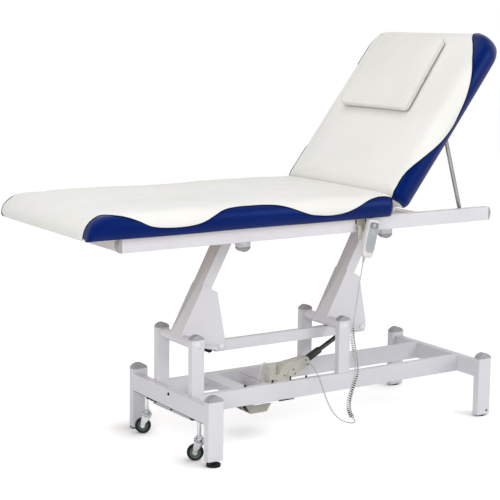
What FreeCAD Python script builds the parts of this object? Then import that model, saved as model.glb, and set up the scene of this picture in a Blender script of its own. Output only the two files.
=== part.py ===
"""Electric physiotherapy table: welded base, parallel lifting arms, reclining two-section top.

Frame: +Z up, +X towards the head end, -Y is the side with the handset. The origin lies on the
floor, halfway between the seat's foot end and the outer face of the head legs. Millimetres.
"""
import FreeCAD, Part
import math
import os
import re
from types import SimpleNamespace
from FreeCAD import Rotation, Vector

SIZES = dict(
    # Base frame
    base_length=1279, base_width=565, seat_overhang=478,
    leg_wide=60, leg_deep=30, leg_bottom=20, leg_low=6, leg_top=228,
    tube_wall=2, cap_lip=4, leg_cap_rise=16,
    rail_low=149, rail_high=213, rail_gap=218, rail_deep=26,
    cross_thick=30, head_cross_inset=12, member_from_foot=203, member_wide=62, member_thick=25,
    foot_pad_radius=25, foot_pad_thick=9, foot_disc_radius=14, foot_disc_thick=5, foot_stem_radius=6,
    foot_insert_tall=14,
    # Pivot posts and lifting arms
    post_wide=50, post_top=411, post_cap_rise=13,
    pivot_from_foot=46, pivot_spacing=634, pivot_drop=18,
    shaft_radius=10, shaft_head_radius=15, shaft_head_tall=8,
    running_gap=0.05, side_gap=0.5, part_gap=0.3,
    arm_length=400, arm_lean_deg=28, arm_wide=66, arm_thick=40, hub_radius=19,
    gusset_thick=6, gusset_climb=205, gusset_shoulder=26, crank_out=154, crank_drop=40,
    crank_boss_radius=18, tie_pin_radius=6, tie_head_radius=11, tie_head_tall=5,
    tie_tall=40, tie_wide=26, tie_end=17,
    # Linear actuator and its control box
    actuator_axis_y=18, actuator_pivot_from_foot=455, actuator_pivot_z=158,
    actuator_eye_radius=13, actuator_eye_wide=24, actuator_pin_radius=5, clevis_thick=6,
    mount_tube=30, mount_setback=55,
    housing_length=182, housing_wide=40, housing_back=18, housing_high=46, housing_front_tall=30,
    housing_step=25, housing_shoulder=42, housing_slope=14, housing_notch=28,
    motor_radius=19, motor_tall=40, motor_from_pivot=2,
    rod_radius=9, rod_inside=20, rod_bore_start=10,
    rod_eye_play=9, rod_eye_wall=5, rod_eye_wide=20, rod_shift_along=4, rod_shift_up=-6.5,
    control_from_foot=306, control_long=112, control_wide=92, control_low=84, control_taper=20,
    plate_thick=4, plate_from_foot=280, plate_long=152,
    plug_radius=7, plug_long=8, plug_spread=30, plug_tail_radius=4, plug_tail_long=10, plug_inset=14,
    # Top frame
    top_rail_span=607, top_rail_wide=30, top_rail_tall=50, pivot_to_rail=28,
    top_rail_start=-340, rail_past_prop=102, top_cap_lip=3, top_cap_rise=9, upper_post_low=22,
    # Seat and backrest
    seat_length=1211, pad_width=700, seat_edge=80, seat_crown=8, seat_roll=72, seat_corner=24,
    seat_head_roll=22, pad_tuck=14, pad_shoulder=16, board_thick=15, board_inset=26,
    back_length=734, back_edge=86, back_crown=9, back_roll=30, back_corner=88, back_foot_roll=32,
    back_angle_deg=52.5, hinge_from_seat=24, hinge_rise=37.5, hinge_to_pad=11, back_rest_gap=0.5,
    ear_radius=9, ear_thick=6, hinge_pin_radius=4, lug_thick=6, lug_flange=60, lug_flange_wide=30,
    lug_flange_thick=4,
    prop_radius=8, prop_length=317, prop_from_hinge=358, prop_pivot_drop=25, prop_inset=11.6,
    prop_pin_radius=5, prop_eye_radius=11, prop_eye_wide=12,
    rack_depth=16, rack_wide=20, rack_inboard=17, rack_start=330, rack_end=712, rack_pitch=25, rack_notch=7,
    pillow_length=318, pillow_width=400, pillow_edge=34, pillow_crown=8, pillow_from_hinge=352,
    pillow_offset=26, pillow_corner=20, pillow_roll=10,
    # Handset and its cord
    handset_long=138, handset_wide=50, handset_thick=24, handset_round=9, handset_lean_deg=12,
    handset_from_foot=629, handset_centre_z=753, handset_proud=21,
    keypad_long=104, keypad_wide=34, keypad_thick=1.6, keypad_rise=8,
    button_radius=6.5, button_tall=2.2, button_travel=1.2, button_pitch=26, button_gap=0.4, button_climb=22,
    hook_plate_wide=60, hook_plate_tall=38, hook_plate_thick=3, hook_arm_wide=22, hook_arm_tall=34,
    relief_long=18, relief_top_radius=5.5, relief_tip_radius=3.2, relief_offset=9,
    cord_radius=2.2, coil_radius=7, coil_turns=42, coil_straight=4.4, cord_lead_in=60,
    lead_start=12, lead_finish=18,
    # Casters
    caster_spread=188, caster_inset=21, caster_bar_wide=24, caster_bar_thick=8, caster_bar_over=16,
    caster_stem_radius=8, caster_trail=14, caster_turn_deg=147, caster_crown_z=66, caster_crown_radius=20,
    caster_crown_tall=14, fork_thick=3, fork_gap=25, fork_foot_radius=9, wheel_radius=29.5, wheel_wide=20,
    hub_wheel_radius=20, hub_wheel_wide=22, axle_radius=4, axle_head=3, axle_head_radius=6,
    cut_over=1)

# Where the curly run starts, as distance along X from the foot legs and height, in millimetres.
COIL_START = (564, 436)
# The curly run's bent axis below that start: distance along X from it, and height.
COIL_AXIS = [(-3, 404), (8, 356), (19, 300), (21, 262), (6, 222), (-10, 178), (-13, 150), (-5, 124), (8, 106)]
# The plain lead after the curly run, over the near rail and down to the control box.
LEAD_ROUTE = [(187, -326, 84), (184, -311, 79), (174, -296, 80), (160, -277, 87), (152, -250, 103),
              (152, -222, 124), (153, -196, 152), (154, -172, 184), (155, -151, 212), (158, -127, 232),
              (160, -100, 247), (156, -78, 257), (143, -60, 262), (125, -50, 262), (109, -46, 253),
              (98, -44, 236), (89, -43, 212), (80, -41, 184), (73, -37, 160), (65, -33, 139)]

doc = FreeCAD.newDocument("physiotherapy_table")
sheet = doc.addObject("Spreadsheet::Sheet", "Sizes")
for row, (name, value) in enumerate(SIZES.items(), start=1):
    sheet.set("A%d" % row, name)
    sheet.set("B%d" % row, str(value))
    sheet.setAlias("B%d" % row, name)
doc.recompute()
S = SimpleNamespace(**{name: float(sheet.get(name)) for name in SIZES})
nodes = {}


# Places worked out from the sizes
half_length = (S.base_length + S.seat_overhang) / 2
foot_x = half_length - S.base_length
seat_x = -half_length
base_half = S.base_width / 2
rail_y = S.rail_gap / 2
lean = math.radians(S.arm_lean_deg)
lower_z = S.post_top - S.pivot_drop
foot_pivot = Vector(foot_x + S.pivot_from_foot, 0, lower_z)
head_pivot = foot_pivot + Vector(S.pivot_spacing, 0, 0)
arm_reach = Vector(math.sin(lean), 0, math.cos(lean)) * S.arm_length
crank = Vector(S.crank_out, 0, -S.crank_drop)
top_low = lower_z + arm_reach.z + S.pivot_to_rail
top_high = top_low + S.top_rail_tall
top_half = S.top_rail_span / 2
seat_end = seat_x + S.seat_length
hinge = Vector(seat_end + S.hinge_from_seat, 0, top_high + S.hinge_rise)
prop_x = hinge.x + S.prop_from_hinge
back_turn = math.radians(S.back_angle_deg)
along_back = Vector(math.cos(back_turn), 0, math.sin(back_turn))
off_back = Vector(-math.sin(back_turn), 0, math.cos(back_turn))
back_corner = hinge + along_back * S.hinge_to_pad - off_back * (S.hinge_rise - S.back_rest_gap)
back_place = FreeCAD.Placement(back_corner, Rotation(Vector(0, 1, 0), -S.back_angle_deg))
actuator_pivot = Vector(foot_x + S.actuator_pivot_from_foot, S.actuator_axis_y, S.actuator_pivot_z)
rod_pin = head_pivot + crank
rod_line = Vector(rod_pin.x - actuator_pivot.x, 0, rod_pin.z - actuator_pivot.z)
rod_angle_deg = math.degrees(math.atan2(rod_line.z, rod_line.x))
actuator_place = FreeCAD.Placement(actuator_pivot, Rotation(Vector(0, 1, 0), -rod_angle_deg))


def bind(thing, **texts):
    """Ties properties to the sheet: every word of an expression is a cell's alias."""
    for prop, text in texts.items():
        thing.setExpression(prop, re.sub(r"[a-z][a-z_]*", r"Sizes.\g<0>", text))
    return thing


def moved(thing, at=(0, 0, 0), axis=None, turn=0):
    rotation = Rotation(Vector(*axis), turn) if axis else Rotation()
    thing.Placement = FreeCAD.Placement(Vector(*at), rotation)
    return thing


def box(x, y, z, at):
    return moved(bind(doc.addObject("Part::Box", "block"), Length=x, Width=y, Height=z), at)


def cylinder(radius, height, at, axis="z"):
    turns = {"x": ((0, 1, 0), 90), "y": ((1, 0, 0), -90), "z": (None, 0)}
    return moved(bind(doc.addObject("Part::Cylinder", "round"), Radius=radius, Height=height), at, *turns[axis])


def cut(base, *tools):
    for tool in tools:
        result = doc.addObject("Part::Cut", "cut")
        result.Base, result.Tool = base, tool
        base = result
    return base


def fuse(*things):
    result = doc.addObject("Part::MultiFuse", "joined")
    result.Shapes = list(things)
    return result


def common(one, two):
    result = doc.addObject("Part::Common", "shared")
    result.Base, result.Tool = one, two
    return result


def rounded(thing, radius, edges=range(1, 13)):
    doc.recompute()
    result = doc.addObject("Part::Fillet", "softened")
    result.Base = thing
    result.Edges = [(edge, radius, radius) for edge in edges]
    return result


def plate(points, thickness, y):
    """An outline in the XZ plane, extruded along +Y from y."""
    outline = doc.addObject("Part::Polygon", "outline")
    outline.Nodes = [Vector(x, y, z) for x, z in points]
    outline.Close = True
    result = doc.addObject("Part::Extrusion", "sheet_metal")
    result.Base, result.Dir, result.Solid = outline, Vector(0, 1, 0), True
    result.DirMode = "Custom"
    return bind(result, LengthFwd=thickness)


def tube(axis, x, y, z, at):
    """A rectangular tube, open along its axis; x, y and z are its outer sizes."""
    hollow = {"x": (f"{x} + 2 * cut_over", f"{y} - 2 * tube_wall", f"{z} - 2 * tube_wall"),
              "y": (f"{x} - 2 * tube_wall", f"{y} + 2 * cut_over", f"{z} - 2 * tube_wall"),
              "z": (f"{x} - 2 * tube_wall", f"{y} - 2 * tube_wall", f"{z} + 2 * cut_over")}[axis]
    start = [place + (-S.cut_over if name == axis else S.tube_wall) for name, place in zip("xyz", at)]
    return cut(box(x, y, z, at), box(*hollow, start))


def arch_cap(wide, deep, lip, rise, at, turn=0):
    """A plastic end cap with a low arched top; turn about Y points it another way."""
    sizes = dict(wide=getattr(S, wide), rise=getattr(S, rise))
    radius = f"({wide} ^ 2 / 4 + {rise} ^ 2) / (2 * {rise})"
    number = (sizes["wide"] ** 2 / 4 + sizes["rise"] ** 2) / (2 * sizes["rise"])
    top = getattr(S, lip) + sizes["rise"]
    block = box(wide, deep, f"{lip} + {rise}", (-sizes["wide"] / 2, 0, 0))
    arch = cylinder(radius, deep, (0, 0, top - number), "y")
    return moved(common(block, arch), at, (0, 1, 0), turn)


def node(name, *things):
    """Keeps one sub-part; several separate solids stay a group."""
    thing = things[0]
    if len(things) > 1:
        thing = doc.addObject("Part::Compound", name)
        thing.Links = list(things)
    thing.Label = name
    nodes[name] = thing
    return thing


def shape_node(name, shape, placement=FreeCAD.Placement()):
    thing = doc.addObject("Part::Feature", name)
    thing.Shape = shape
    thing.Placement = placement
    return node(name, thing)


def in_place(thing, placement):
    thing.Placement = placement.multiply(thing.Placement)
    return thing


SIDES = (-1, 1)
ENDS = (foot_pivot, head_pivot)


def low_y(side, inner, deep):
    """The lower Y of a piece that is deep wide and starts at inner from the middle, on that side."""
    return inner if side > 0 else -inner - deep


def base_frame():
    legs, caps, feet = [], [], []
    for x in (foot_x, half_length - S.leg_wide):
        for side in SIDES:
            y = low_y(side, base_half - S.leg_deep, S.leg_deep)
            centre = (x + S.leg_wide / 2, y + S.leg_deep / 2)
            # Only the near leg at the foot end stands on a foot that is screwed out.
            out = x == foot_x and side < 0
            bottom, kind = ("leg_bottom", "foot_pad") if out else ("leg_low", "foot_disc")
            low = S.leg_bottom if out else S.leg_low
            legs.append(tube("z", "leg_wide", "leg_deep", "leg_top - " + bottom, (x, y, low)))
            caps.append(arch_cap("leg_wide", "leg_deep", "cap_lip", "leg_cap_rise", (centre[0], y, S.leg_top)))
            pad = cylinder(kind + "_radius", kind + "_thick", (*centre, 0))
            stem = cylinder("foot_stem_radius", bottom + " + foot_insert_tall", (*centre, 0))
            insert = box("leg_wide - 2 * tube_wall", "leg_deep - 2 * tube_wall", "foot_insert_tall",
                         (x + S.tube_wall, y + S.tube_wall, low))
            feet.append(fuse(pad, stem, insert))
    node("base_legs", *legs)
    node("leg_caps", *caps)
    node("levelling_feet", *feet)
    head_cross_x = half_length - S.head_cross_inset - S.cross_thick
    crosses = [tube("y", "cross_thick", "base_width - 2 * leg_deep", "rail_high - rail_low",
                    (x, -base_half + S.leg_deep, S.rail_low)) for x in (foot_x, head_cross_x)]
    node("base_cross_tubes", *crosses)
    rails = [tube("x", "base_length - 2 * cross_thick - head_cross_inset", "rail_deep", "rail_high - rail_low",
                  (foot_x + S.cross_thick, low_y(side, rail_y, S.rail_deep), S.rail_low)) for side in SIDES]
    node("base_side_rails", *rails)
    node("base_cross_member", tube("y", "member_wide", "rail_gap", "member_thick",
                                   (foot_x + S.member_from_foot, -rail_y, S.rail_high - S.member_thick)))


def pivot_shaft(pivot):
    """A shaft through both posts, with a domed head at each end."""
    reach = rail_y + S.rail_deep
    pieces = [cylinder("shaft_radius", "rail_gap + 2 * rail_deep", (pivot.x, -reach, pivot.z), "y")]
    for side in SIDES:
        dome = doc.addObject("Part::Sphere", "dome")
        flat = "(shaft_head_radius ^ 2 + shaft_head_tall ^ 2) / (2 * shaft_head_tall)"
        ball = (S.shaft_head_radius ** 2 + S.shaft_head_tall ** 2) / (2 * S.shaft_head_tall)
        bind(dome, Radius=flat)
        moved(dome, (pivot.x, side * (reach + S.shaft_head_tall - ball), pivot.z), (1, 0, 0), -90 * side)
        slab = box("2 * shaft_head_radius", "shaft_head_tall", "2 * shaft_head_radius",
                   (pivot.x - S.shaft_head_radius, low_y(side, reach, S.shaft_head_tall),
                    pivot.z - S.shaft_head_radius))
        pieces.append(common(slab, dome))
    return fuse(*pieces)


def posts(pivots, tall, low):
    """Four pivot posts that start at the height low, with a hole for the shaft."""
    result = []
    for pivot in pivots:
        for side in SIDES:
            y = low_y(side, rail_y, S.rail_deep)
            post = tube("z", "post_wide", "rail_deep", tall, (pivot.x - S.post_wide / 2, y, low))
            hole = cylinder("shaft_radius", "rail_deep + 2 * cut_over", (pivot.x, y - S.cut_over, pivot.z), "y")
            result.append(cut(post, hole))
    return result


def post_caps(pivots, height, turn=0):
    return [arch_cap("post_wide", "rail_deep", "cap_lip", "post_cap_rise",
                     (pivot.x, low_y(side, rail_y, S.rail_deep), height), turn)
            for pivot in pivots for side in SIDES]


def lower_posts():
    node("lower_posts", *posts(ENDS, "post_top - rail_high", S.rail_high))
    node("lower_post_caps", *post_caps(ENDS, S.post_top))
    node("lower_pivot_shafts", *[pivot_shaft(pivot) for pivot in ENDS])


def arm(name, pivot):
    """One lifting arm: tube, hubs at both pivots, gusset plates and the tie pin at its crank."""
    upper = pivot + arm_reach
    hub_half = rail_y - S.side_gap
    hubs = []
    for centre in (pivot, upper):
        solid = cylinder("hub_radius", "rail_gap - 2 * side_gap", (centre.x, -hub_half, centre.z), "y")
        bore = cylinder("shaft_radius + running_gap", "rail_gap", (centre.x, -rail_y, centre.z), "y")
        hubs.append(cut(solid, bore))
    node(name + "_hubs", *hubs)
    beam = tube("z", "arm_thick", "arm_wide", "arm_length", (-S.arm_thick / 2, -S.arm_wide / 2, 0))
    moved(beam, tuple(pivot), (0, 1, 0), S.arm_lean_deg)
    holes = [cylinder("hub_radius", "rail_gap", (centre.x, -rail_y, centre.z), "y")
             for centre in (pivot, upper)]
    node(name + "_tube", cut(beam, *holes))
    axis = Vector(math.sin(lean), 0, math.cos(lean))
    across = Vector(math.cos(lean), 0, -math.sin(lean))
    half = S.arm_thick / 2
    pin = pivot + crank
    corners = [pivot - across * half, pivot + axis * S.gusset_climb - across * half,
               pivot + axis * S.gusset_climb + across * (half + S.gusset_shoulder),
               pin + Vector(S.crank_boss_radius, 0, S.crank_boss_radius),
               pin + Vector(0, 0, -S.crank_boss_radius), pivot - axis * S.hub_radius]
    plates = []
    for side in SIDES:
        y = low_y(side, S.arm_wide / 2, S.gusset_thick)
        sheet_metal = plate([(c.x, c.z) for c in corners], "gusset_thick", y)
        boss = cylinder("crank_boss_radius", "gusset_thick", (pin.x, y, pin.z), "y")
        hole = cylinder("tie_pin_radius", "gusset_thick + 2 * cut_over", (pin.x, y - S.cut_over, pin.z), "y")
        seat = cylinder("hub_radius", "gusset_thick + 2 * cut_over", (pivot.x, y - S.cut_over, pivot.z), "y")
        plates.append(cut(fuse(sheet_metal, boss), hole, seat))
    node(name + "_gussets", *plates)
    reach = S.arm_wide / 2 + S.gusset_thick
    heads = [cylinder("tie_head_radius", "tie_head_tall",
                      (pin.x, low_y(side, reach, S.tie_head_tall), pin.z), "y") for side in SIDES]
    shank = cylinder("tie_pin_radius", "arm_wide + 2 * gusset_thick", (pin.x, -reach, pin.z), "y")
    node(name + "_tie_pin", fuse(shank, *heads))


def tie_bar():
    y = -S.arm_wide / 2 + S.side_gap
    start = foot_pivot + crank - Vector(S.tie_end, 0, S.tie_tall / 2)
    bar = tube("x", "pivot_spacing + 2 * tie_end", "tie_wide", "tie_tall", (start.x, y, start.z))
    holes = [cylinder("tie_pin_radius + running_gap", "tie_wide + 2 * cut_over",
                      (end.x + crank.x, y - S.cut_over, end.z + crank.z), "y") for end in ENDS]
    node("tie_bar", cut(bar, *holes))


def actuator():
    eye_y = -S.actuator_eye_wide / 2
    x, y, z = actuator_pivot
    along = Vector(rod_line).normalize()
    upward = Vector(-along.z, 0, along.x)
    front = actuator_pivot + along * S.housing_length
    top, under = front + upward * S.housing_front_tall / 2, front - upward * S.housing_front_tall / 2
    outline = [Vector(x - S.housing_back, y, z + S.housing_high),
               Vector(x + S.housing_step, y, z + S.housing_high),
               Vector(x + S.housing_shoulder, y, top.z - S.housing_slope), top, under,
               actuator_pivot + along * S.housing_high - upward * S.actuator_eye_radius,
               actuator_pivot - upward * S.actuator_eye_radius, Vector(x - S.housing_back, y, z)]
    case = plate([(corner.x, corner.z) for corner in outline], "housing_wide", y - S.housing_wide / 2)
    case.Placement = actuator_place.inverse()
    notches = [cylinder("housing_notch", "housing_wide / 2 - actuator_eye_wide / 2", (0, start, 0), "y")
               for start in (-S.housing_wide / 2, -eye_y)]
    pin_hole = cylinder("actuator_pin_radius + running_gap", "actuator_eye_wide + 2 * cut_over",
                        (0, eye_y - S.cut_over, 0), "y")
    bore = cylinder("rod_radius + running_gap", "housing_length", (S.rod_bore_start, 0, 0), "x")
    node("actuator_housing", in_place(cut(case, *notches, pin_hole, bore), actuator_place))
    motor = cylinder("motor_radius", "motor_tall", (x + S.motor_from_pivot, y, z + S.housing_high))
    node("actuator_motor", motor)
    shift = Vector(rod_line.Length + S.rod_shift_along, 0, S.rod_shift_up)
    outer = "tie_pin_radius + rod_eye_play + rod_eye_wall"
    start = S.housing_length - S.rod_inside
    ring = cut(cylinder(outer, "rod_eye_wide", (shift.x, -S.rod_eye_wide / 2, shift.z), "y"),
               cylinder("tie_pin_radius + rod_eye_play", "rod_eye_wide + 2 * cut_over",
                        (shift.x, -S.rod_eye_wide / 2 - S.cut_over, shift.z), "y"))
    rod = doc.addObject("Part::Cylinder", "rod")
    bind(rod, Radius="rod_radius")
    rod.Height = shift.x - start
    moved(rod, (start, 0, 0), (0, 1, 0), 90)
    clear = cylinder(outer, "rod_eye_wide + 2 * cut_over",
                     (shift.x, -S.rod_eye_wide / 2 - S.cut_over, shift.z), "y")
    node("actuator_rod", in_place(fuse(cut(rod, clear), ring), actuator_place))


def actuator_mount():
    x, y, z = actuator_pivot
    cross = tube("y", "mount_tube", "rail_gap", "mount_tube", (x - S.mount_setback, -rail_y, S.rail_low))
    ears = []
    front = x - S.mount_setback + S.mount_tube
    for side in SIDES:
        inner = S.actuator_eye_wide / 2 + S.side_gap
        low = y + low_y(side, inner, S.clevis_thick)
        root = plate([(front, S.rail_low), (x, z - S.actuator_eye_radius), (x, z + S.actuator_eye_radius),
                      (front, S.rail_low + S.mount_tube)], "clevis_thick", low)
        lobe = cylinder("actuator_eye_radius", "clevis_thick", (x, low, z), "y")
        hole = cylinder("actuator_pin_radius", "clevis_thick + 2 * cut_over", (x, low - S.cut_over, z), "y")
        ears.append(cut(fuse(root, lobe), hole))
    node("actuator_mount", fuse(cross, *ears))
    span = "actuator_eye_wide + 2 * side_gap + 2 * clevis_thick"
    start = y - S.actuator_eye_wide / 2 - S.side_gap - S.clevis_thick
    pin = cylinder("actuator_pin_radius", span, (x, start, z), "y")
    head = cylinder("actuator_pin_radius * 2", "clevis_thick", (x, start - S.clevis_thick, z), "y")
    node("actuator_rear_pin", fuse(pin, head))


def control_box():
    low, high = S.control_low, S.rail_low - S.plate_thick
    left = foot_x + S.control_from_foot
    right = left + S.control_long
    taper = S.control_taper
    shell = plate([(left, high), (left, (low + high) / 2), (left + taper, low), (right - taper, low),
                   (right, (low + high) / 2), (right, high)], "control_wide", -S.control_wide / 2)
    node("control_box", shell)
    node("control_plate", box("plate_long", "rail_gap + 2 * rail_deep", "plate_thick",
                              (foot_x + S.plate_from_foot, -rail_y - S.rail_deep, high)))
    plugs = []
    z = (low + 3 * high) / 4
    for x, way, y in ((left, -1, -S.plug_inset), (left, -1, S.plug_spread), (right, 1, -S.plug_spread)):
        body = cylinder("plug_radius", "plug_long", (low_y(way, way * x, S.plug_long), y, z), "x")
        tail = cylinder("plug_tail_radius", "plug_tail_long",
                        (low_y(way, way * x + S.plug_long, S.plug_tail_long), y, z), "x")
        plugs.append(fuse(body, tail))
    node("control_box_plugs", *plugs)
    return Vector(right + S.plug_long + S.plug_tail_long, -S.plug_spread, z)


def caster(name, side):
    """One swivel caster: fork with stem, axle, hub and tyre, trailing towards its turn."""
    place = FreeCAD.Placement(Vector(foot_x + S.caster_inset, side * S.caster_spread, 0),
                              Rotation(Vector(0, 0, 1), S.caster_turn_deg))
    crown = cylinder("caster_crown_radius", "caster_crown_tall", (0, 0, S.caster_crown_z))
    stem = cylinder("caster_stem_radius", "rail_low - caster_crown_z - part_gap", (0, 0, S.caster_crown_z))
    reach = S.fork_gap / 2
    blades = []
    for blade_side in SIDES:
        y = low_y(blade_side, reach, S.fork_thick)
        foot = (S.caster_trail, S.wheel_radius)
        top = S.caster_crown_z + S.caster_crown_tall
        width = math.sqrt(S.caster_crown_radius ** 2 - (reach + S.fork_thick) ** 2)
        blade = plate([(-width, top), (-width, S.caster_crown_z), (foot[0] - S.fork_foot_radius, foot[1]),
                       (foot[0] + S.fork_foot_radius, foot[1]), (width, S.caster_crown_z), (width, top)],
                      "fork_thick", y)
        lobe = cylinder("fork_foot_radius", "fork_thick", (foot[0], y, foot[1]), "y")
        hole = cylinder("axle_radius", "fork_thick + 2 * cut_over", (foot[0], y - S.cut_over, foot[1]), "y")
        blades.append(cut(fuse(blade, lobe), hole))
    node(name + "_fork", in_place(fuse(crown, stem, *blades), place))
    axle_half = reach + S.fork_thick
    shank = cylinder("axle_radius", "fork_gap + 2 * fork_thick",
                     (S.caster_trail, -axle_half, S.wheel_radius), "y")
    heads = [cylinder("axle_head_radius", "axle_head",
                      (S.caster_trail, low_y(end, axle_half, S.axle_head), S.wheel_radius), "y")
             for end in SIDES]
    node(name + "_axle", in_place(fuse(shank, *heads), place))
    hub = cut(cylinder("hub_wheel_radius", "hub_wheel_wide",
                       (S.caster_trail, -S.hub_wheel_wide / 2, S.wheel_radius), "y"),
              cylinder("axle_radius + running_gap", "fork_gap", (S.caster_trail, -reach, S.wheel_radius), "y"))
    node(name + "_hub", in_place(hub, place))
    tyre = cut(cylinder("wheel_radius", "wheel_wide", (S.caster_trail, -S.wheel_wide / 2, S.wheel_radius), "y"),
               cylinder("hub_wheel_radius", "fork_gap", (S.caster_trail, -reach, S.wheel_radius), "y"))
    node(name + "_tyre", in_place(tyre, place))


def caster_bar():
    y = -S.caster_spread - S.caster_bar_over
    bar = box("caster_bar_wide", "2 * caster_spread + 2 * caster_bar_over", "caster_bar_thick",
              (foot_x + S.caster_inset - S.caster_bar_wide / 2, y, S.rail_low - S.caster_bar_thick))
    holes = [cylinder("caster_stem_radius + running_gap", "caster_bar_thick + 2 * cut_over",
                      (foot_x + S.caster_inset, side * S.caster_spread,
                       S.rail_low - S.caster_bar_thick - S.cut_over)) for side in SIDES]
    node("caster_bar", cut(bar, *holes))


def top_frame():
    start, end = foot_x + S.top_rail_start, prop_x + S.rail_past_prop
    rail_inner = top_half - S.top_rail_wide
    length = "seat_length + hinge_from_seat + prop_from_hinge + rail_past_prop - seat_overhang - top_rail_start"
    rails, caps, bars = [], [], []
    for side in SIDES:
        y = low_y(side, rail_inner, S.top_rail_wide)
        rails.append(tube("x", length, "top_rail_wide", "top_rail_tall", (start, y, top_low)))
        middle = top_low + S.top_rail_tall / 2
        for x, turn in ((start, -90), (end, 90)):
            caps.append(arch_cap("top_rail_tall", "top_rail_wide", "top_cap_lip", "top_cap_rise",
                                 (x, y, middle), turn))
    node("top_rails", *rails)
    node("top_rail_caps", *caps)
    width = "top_rail_span - 2 * top_rail_wide"
    for pivot in ENDS:
        x = pivot.x + arm_reach.x - S.post_wide / 2
        bars.append(tube("y", "post_wide", width, "top_rail_tall", (x, -rail_inner, top_low)))
    bars.append(tube("y", "top_rail_wide", width, "top_rail_tall", (start, -rail_inner, top_low)))
    node("top_cross_tubes", *bars)
    uppers = [pivot + arm_reach for pivot in ENDS]
    low = uppers[0].z - S.upper_post_low
    node("upper_posts", *posts(uppers, "upper_post_low + pivot_to_rail", low))
    node("upper_post_caps", *post_caps(uppers, low, 180))
    node("upper_pivot_shafts", *[pivot_shaft(pivot) for pivot in uppers])


def cushion_section(x, half, edge, crown, tuck, shoulder):
    """A closed section across the cushion: flat underside, bulging sides, crowned top."""
    low, high = half - tuck, half - shoulder
    below = Part.LineSegment(Vector(x, -low, 0), Vector(x, low, 0))
    right = Part.Arc(Vector(x, low, 0), Vector(x, half, edge / 2), Vector(x, high, edge))
    top = Part.Arc(Vector(x, high, edge), Vector(x, 0, edge + crown), Vector(x, -high, edge))
    left = Part.Arc(Vector(x, -high, edge), Vector(x, -half, edge / 2), Vector(x, -low, 0))
    return Part.Wire([piece.toShape() for piece in (below, right, top, left)])


# How far along a rounded end its sections stand, as shares of the larger rounding.
END_SHARES = (0, 0.04, 0.14, 0.32, 0.6, 1)


def drop(radius, distance):
    """How far a quarter round of that radius still lies below its crest at a distance from its start."""
    if distance >= radius:
        return 0
    return radius - math.sqrt(radius ** 2 - (radius - distance) ** 2)


def cushion(length, width, edge, crown, tuck, shoulder, first, last):
    """A crowned pad along +X, its underside at Z = 0; first and last are each end's corner and roll."""
    stations = []
    for (corner, roll), flip in ((first, False), (last, True)):
        for share in END_SHARES:
            distance = share * max(corner, roll)
            x = length - distance if flip else distance
            stations.append((x, width / 2 - drop(corner, distance), edge - drop(roll, distance)))
    stations.sort()
    wires = [cushion_section(x, half, tall, crown * tall / edge, tuck, shoulder) for x, half, tall in stations]
    return Part.makeLoft(wires, True, True)


def with_recess(pad, length, width):
    inset = S.board_inset
    corner = Vector(inset, inset - width / 2, 0)
    return pad.cut(Part.makeBox(length - 2 * inset, width - 2 * inset, S.board_thick, corner))


def seat():
    pad = cushion(S.seat_length, S.pad_width, S.seat_edge, S.seat_crown, S.pad_tuck, S.pad_shoulder,
                  (S.seat_corner, S.seat_roll), (S.seat_corner, S.seat_head_roll))
    shape_node("seat_pad", with_recess(pad, S.seat_length, S.pad_width),
               FreeCAD.Placement(Vector(seat_x, 0, top_high), Rotation()))
    node("seat_board", box("seat_length - 2 * board_inset", "pad_width - 2 * board_inset", "board_thick",
                           (seat_x + S.board_inset, -S.pad_width / 2 + S.board_inset, top_high)))


def hinge_parts():
    """Ears with welded pins on the top rails, and the backrest's lugs beside them."""
    ears, lugs = [], []
    inner = top_half - S.top_rail_wide
    for side in SIDES:
        y = low_y(side, inner, S.ear_thick)
        stem = box("2 * ear_radius", "ear_thick", "hinge_rise", (hinge.x - S.ear_radius, y, top_high))
        lobe = cylinder("ear_radius", "ear_thick", (hinge.x, y, hinge.z), "y")
        start = inner - S.side_gap - S.lug_thick
        pin = cylinder("hinge_pin_radius", "ear_thick + side_gap + lug_thick",
                       (hinge.x, low_y(side, start, S.ear_thick + S.side_gap + S.lug_thick), hinge.z), "y")
        ears.append(fuse(stem, lobe, pin))
        lug_y = low_y(side, start, S.lug_thick)
        eye = (-S.hinge_to_pad, S.hinge_rise - S.back_rest_gap)
        under = -S.lug_flange_thick
        back = eye[0] - S.ear_radius
        blade = plate([(back, eye[1]), (back, under), (0, under), (0, eye[1])], "lug_thick", lug_y)
        trim = box("hinge_to_pad + ear_radius - part_gap", "lug_thick",
                   "hinge_rise + ear_radius + lug_flange_thick", (back, lug_y, under))
        round_end = cylinder("ear_radius", "lug_thick", (eye[0], lug_y, eye[1]), "y")
        bore = cylinder("hinge_pin_radius + running_gap", "lug_thick + 2 * cut_over",
                        (eye[0], lug_y - S.cut_over, eye[1]), "y")
        body = common(fuse(blade, round_end), trim)
        flange = box("lug_flange + hinge_to_pad", "lug_flange_wide", "lug_flange_thick",
                     (eye[0], low_y(side, start + S.lug_thick - S.lug_flange_wide, S.lug_flange_wide), under))
        lugs.append(in_place(cut(fuse(body, flange), bore), back_place))
    node("hinge_ears", *ears)
    node("back_hinge_lugs", *lugs)


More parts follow.
